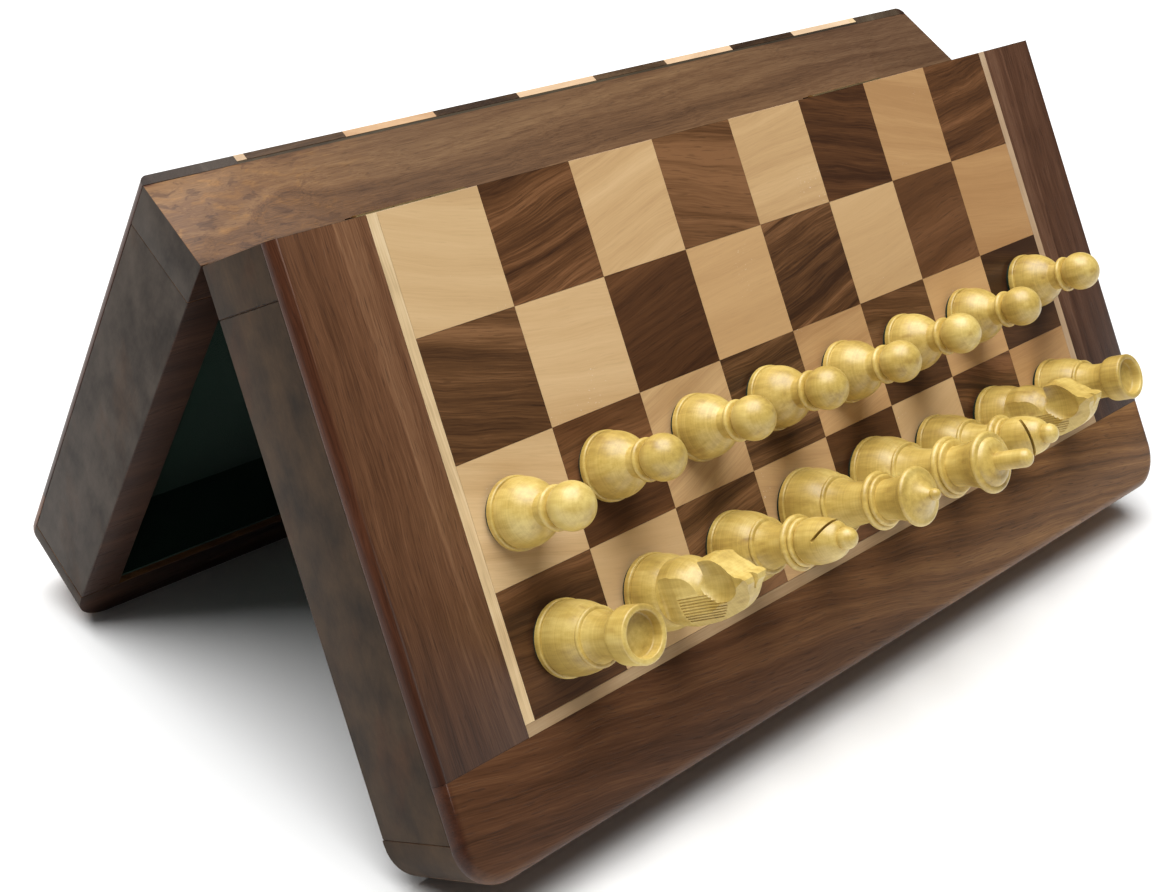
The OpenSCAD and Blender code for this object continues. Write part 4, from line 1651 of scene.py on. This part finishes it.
@dataclass
class Knight(Man):
    """A knight: a horse's head carved from a turned blank that is sawn flat on both sides."""

    height: float = 31.0
    bell_h: float = 6.0
    blank_r: float = 7.2
    neck_t: float = 10.8
    head_t: float = 6.6
    neck_top_z: float = 13.0
    bend_z: float = 19.6
    throat_z: float = 19.2
    mane_plane: Triple = (11.46, 0.575, -0.306)
    cheek_at: Point = (2.3, 23.0)
    cheek_size: Triple = (3.0, 4.6, 6.0)
    cheek_tilt: float = 34.0
    cheek_deep: float = 1.8
    ear_gap: Point = (0.9, 2.0)
    grooves: int = 9
    first_groove: float = -0.4
    groove_step: float = 0.6
    groove_w: float = 0.28
    groove_d: float = 0.2
    groove_z: Point = (13.2, 24.6)

    def outline(self) -> List[Point]:
        """The blank before it is carved.

        Returns:
            The points, from the foot on the axis to the top on the axis.
        """
        r, top = self.blank_r, self.height + 0.4
        shank = bow((r - 0.4, self.bell_z), (r + 0.5, 15.0), (r, top), 16)
        return self.foot(r - 0.4) + shank + [(0.0, top)]

    def _chest(self) -> List[Point]:
        """Half of the turned chest and throat seen from the side, as radius and height."""
        chest = bow((self.blank_r, 11.0), (6.9, 15.2), (4.5, 17.2), 8)
        return chest + bow((3.6, 18.0), (3.2, 19.0), (3.4, self.throat_z), 4)

    def _side_view(self) -> List[Point]:
        """The head seen from its side, reach towards the nose and height, from the chest round.

        Returns:
            The corners, from the chest round by the muzzle to the back.
        """
        return (
            [(8.4, 0.0), (8.4, 10.5)]
            + self._chest()
            + bow((5.6, 19.4), (7.4, 19.8), (7.3, 21.4), 5)
            + bow((7.2, 22.8), (5.3, 25.6), (2.9, 28.6), 6)
            + [(2.6, 30.2), (2.1, 31.0), (1.0, 30.9), (0.0, 30.1)]
            + bow((-0.8, 29.8), (-4.3, 28.6), (-6.1, 20.0), 8)
            + bow((-6.4, 17.0), (-6.8, 12.0), (-6.0, 9.5), 4)
            + [(-8.6, 8.2), (-8.6, 0.0)]
        )

    def _front_view(self) -> List[Point]:
        """The blank's sawn flanks seen from the front, half width and height.

        Returns:
            The corners of one flank, from the foot up.
        """
        neck, head, wide, z = self.neck_t / 2, self.head_t / 2, self.base_r + 0.5, self.bell_z
        flank = [(wide, 0.0), (wide, z - 0.2), (neck + 0.3, z + 0.3), (neck, z + 0.9)]
        return flank + [(neck, self.neck_top_z), (head, self.bend_z), (head, self.height + 1.0)]

    def solid(self) -> Mesh:
        """The carved knight, its nose towards the hinge.

        Returns:
            The solid, standing on z = 0, in millimetres.
        """
        wide = 2 * self.base_r
        side = [(-wide, y, z) for y, z in self._side_view()]
        front = [(-x, -wide, z) for x, z in self._front_view()]
        front += [(x, -wide, z) for x, z in reversed(self._front_view())]
        horse = carve(super().solid(), prism(side, (2 * wide, 0.0, 0.0)), "INTERSECT")
        horse = carve(horse, prism(front, (0.0, 2 * wide, 0.0)), "INTERSECT")
        horse = carve(horse, self._throat_tool(wide))
        for flank in (-1.0, 1.0):
            horse = carve(horse, self._mane_tool(flank, wide))
            horse = carve(horse, self._cheek_tool(flank))
            for i in range(self.grooves):
                horse = carve(horse, self._groove_tool(flank, i))
        w, deep = self.ear_gap
        top = self.height + 0.5
        notch = [(-w, -0.5, top), (0.0, -0.5, top - deep), (w, -0.5, top)]
        return carve(horse, prism(notch, (0.0, 5.0, 0.0)))

    def _throat_tool(self, wide: float) -> Mesh:
        """What is cut away in front so that the chest and the throat come out round.

        Args:
            wide: a width past the whole blank.

        Returns:
            The cutter.
        """
        low, high = self._chest()[0][1], self.throat_z
        corners = [(-wide, 0.0, low), (wide, 0.0, low), (wide, wide, low), (-wide, wide, low)]
        foot, tip = (self.blank_r, low - 1.0), (self._chest()[-1][0], high + 1.0)
        turned = [(0.0, low - 1.0), foot] + self._chest() + [tip, (0.0, high + 1.0)]
        return carve(prism(corners, (0.0, 0.0, high - low)), revolve(turned))

    def _mane_x(self, y: float, z: float) -> float:
        """How far the mane's plane lies from the middle at a place on a flank."""
        base, per_y, per_z = self.mane_plane
        return base + per_y * y + per_z * z

    def _flank_x(self, y: float, z: float) -> float:
        """How far a flank lies from the middle at a place on it.

        Args:
            y: the reach towards the nose.
            z: the height.

        Returns:
            The distance from the middle.
        """
        share = (z - self.neck_top_z) / (self.bend_z - self.neck_top_z)
        flat = self.neck_t / 2 - (self.neck_t - self.head_t) / 2 * min(max(share, 0.0), 1.0)
        return min(flat, self._mane_x(y, z))

    def _mane_tool(self, flank: float, wide: float) -> Mesh:
        """What is cut off a flank to thin the mane to its crest.

        Args:
            flank: -1 or 1, the flank that it cuts.
            wide: a width past the whole blank.

        Returns:
            The cutter.
        """
        spots = ((3.0, 9.0), (-10.0, 9.0), (-10.0, 33.0), (3.0, 33.0))
        corners = [(flank * self._mane_x(y, z), y, z) for y, z in spots]
        return prism(corners, (flank * wide, 0.0, 0.0))

    def _cheek_tool(self, flank: float) -> Mesh:
        """The long round cutter that hollows a cheek from the throat to the brow.

        Args:
            flank: -1 or 1, the flank that it cuts.

        Returns:
            The cutter.
        """
        cutter = bmesh.new()
        bmesh.ops.create_uvsphere(cutter, u_segments=48, v_segments=32, radius=1.0)
        across = flank * (self.head_t / 2 + self.cheek_size[0] - self.cheek_deep)
        return moved(
            cutter,
            Matrix.Translation((across, *self.cheek_at))
            @ Matrix.Rotation(math.radians(self.cheek_tilt), 4, "X")
            @ Matrix.Diagonal((*self.cheek_size, 1.0)),
        )

    def _groove_tool(self, flank: float, i: int) -> Mesh:
        """A saw that cuts one long groove of the mane up a flank.

        Args:
            flank: -1 or 1, the flank that it cuts.
            i: the groove's number, from the middle backwards.

        Returns:
            The cutter.
        """
        y = self.first_groove - i * self.groove_step
        low, high = self.groove_z[0] + 0.1 * i, self.groove_z[1] - 0.05 * i * i
        steps = [low + (high - low) * k / 12 for k in range(13)]
        corners = [(flank * (self._flank_x(y, z) - self.groove_d), y, z) for z in steps]
        corners += [(flank * (self._flank_x(y, z) + self.groove_d), y, z) for z in steps[::-1]]
        return prism(corners, (0.0, self.groove_w, 0.0))


def chess_men() -> List[Man]:
    """The sixteen light men, named for the squares they stand on.

    Returns:
        The pawns, then the men behind them.
    """
    pawns: List[Man] = [Pawn(f"pawn_{file}", 7.4) for file in "abcdefgh"]
    return pawns + [
        Rook("rook_a", 7.8),
        Knight("knight_b", 8.3),
        Bishop("bishop_c", 8.3, turn=90.0),
        Queen("queen_d", 9.3),
        King("king_e", 9.5),
        Bishop("bishop_f", 8.3, turn=185.0),
        Knight("knight_g", 8.3),
        Rook("rook_h", 7.8),
    ]


# --- studio


@dataclass(frozen=True)
class Studio:
    """The pale floor, the soft overhead light and the camera at the photograph's place."""

    camera_m: Triple = (-0.299112, -0.258468, 0.239613)
    forward: Triple = (0.664065, 0.645091, -0.377988)
    up: Triple = (0.234366, 0.300475, 0.924547)
    focal_share: float = 1758.941 / 1170.0
    shift_y: float = (280.01 - 446.0) / 1170.0
    floor_side_m: float = 12.0
    ambient: float = 0.07
    lamp_at: Triple = (-0.35, 0.30, 3.8)
    lamp_aim: Triple = (0.0, 0.0, 0.06)
    lamp_side: float = 4.0
    lamp_watts: float = 308.0

    def set_up(self) -> None:
        """Makes the floor, the world, the light and the camera."""
        scene = bpy.context.scene
        scene.view_settings.view_transform = "Standard"
        self._floor()
        self._light(scene)
        self._camera(scene)

    def _floor(self) -> None:
        """A pale plane under the box."""
        bm = bmesh.new()
        bmesh.ops.create_grid(bm, x_segments=1, y_segments=1, size=self.floor_side_m / 2)
        floor = new_object("floor", bm)
        floor.data.materials.append(Graph("pale_floor").finish((0.94, 0.94, 0.935), 0.7))

    def _light(self, scene: bpy.types.Scene) -> None:
        """An even white surround, and a wide square lamp that faces the box.

        Args:
            scene: the scene to light.
        """
        scene.world = bpy.data.worlds.new("studio")
        scene.world.use_nodes = True
        background = scene.world.node_tree.nodes["Background"]
        background.inputs["Color"].default_value = (1.0, 0.995, 0.985, 1.0)
        background.inputs["Strength"].default_value = self.ambient
        lamp = bpy.data.lights.new("overhead", "AREA")
        lamp.size, lamp.energy = self.lamp_side, self.lamp_watts
        holder = bpy.data.objects.new("overhead", lamp)
        holder.location = self.lamp_at
        aim = Vector(self.lamp_aim) - Vector(self.lamp_at)
        holder.rotation_euler = aim.to_track_quat("-Z", "Y").to_euler()
        scene.collection.objects.link(holder)

    def _camera(self, scene: bpy.types.Scene) -> None:
        """The camera, where the photograph was taken from.

        Args:
            scene: the scene that the camera is for.
        """
        lens = bpy.data.cameras.new("camera")
        lens.sensor_width = 36.0
        lens.lens = self.focal_share * lens.sensor_width
        lens.shift_y = self.shift_y
        lens.clip_start, lens.clip_end = 0.01, 50.0
        camera = bpy.data.objects.new("camera", lens)
        forward, up = Vector(self.forward).normalized(), Vector(self.up).normalized()
        right = forward.cross(up).normalized()
        turn = Matrix((right, right.cross(forward), -forward)).transposed()
        camera.matrix_world = Matrix.Translation(self.camera_m) @ turn.to_4x4()
        scene.collection.objects.link(camera)
        scene.camera = camera


def main() -> None:
    """Builds the looks in order and reports each piece."""
    logging.basicConfig(level=logging.INFO, format="%(name)s: %(message)s")
    front, back = half_places()
    Studio().set_up()
    for place in (front, back):
        for part in (Carcass(place), BoardFace(place), TrayLining(place), Fittings(place)):
            part.build()
    wood = Boxwood().material(front)
    felt = Felt("men_felt").material(front)
    nickel = Metal("magnet", (0.66, 0.66, 0.64), (0.45, 0.44, 0.42)).material(front)
    under = Underside(felt, nickel)
    for man in chess_men():
        man.build(front, wood, under)


if __name__ == "__main__":
    main()
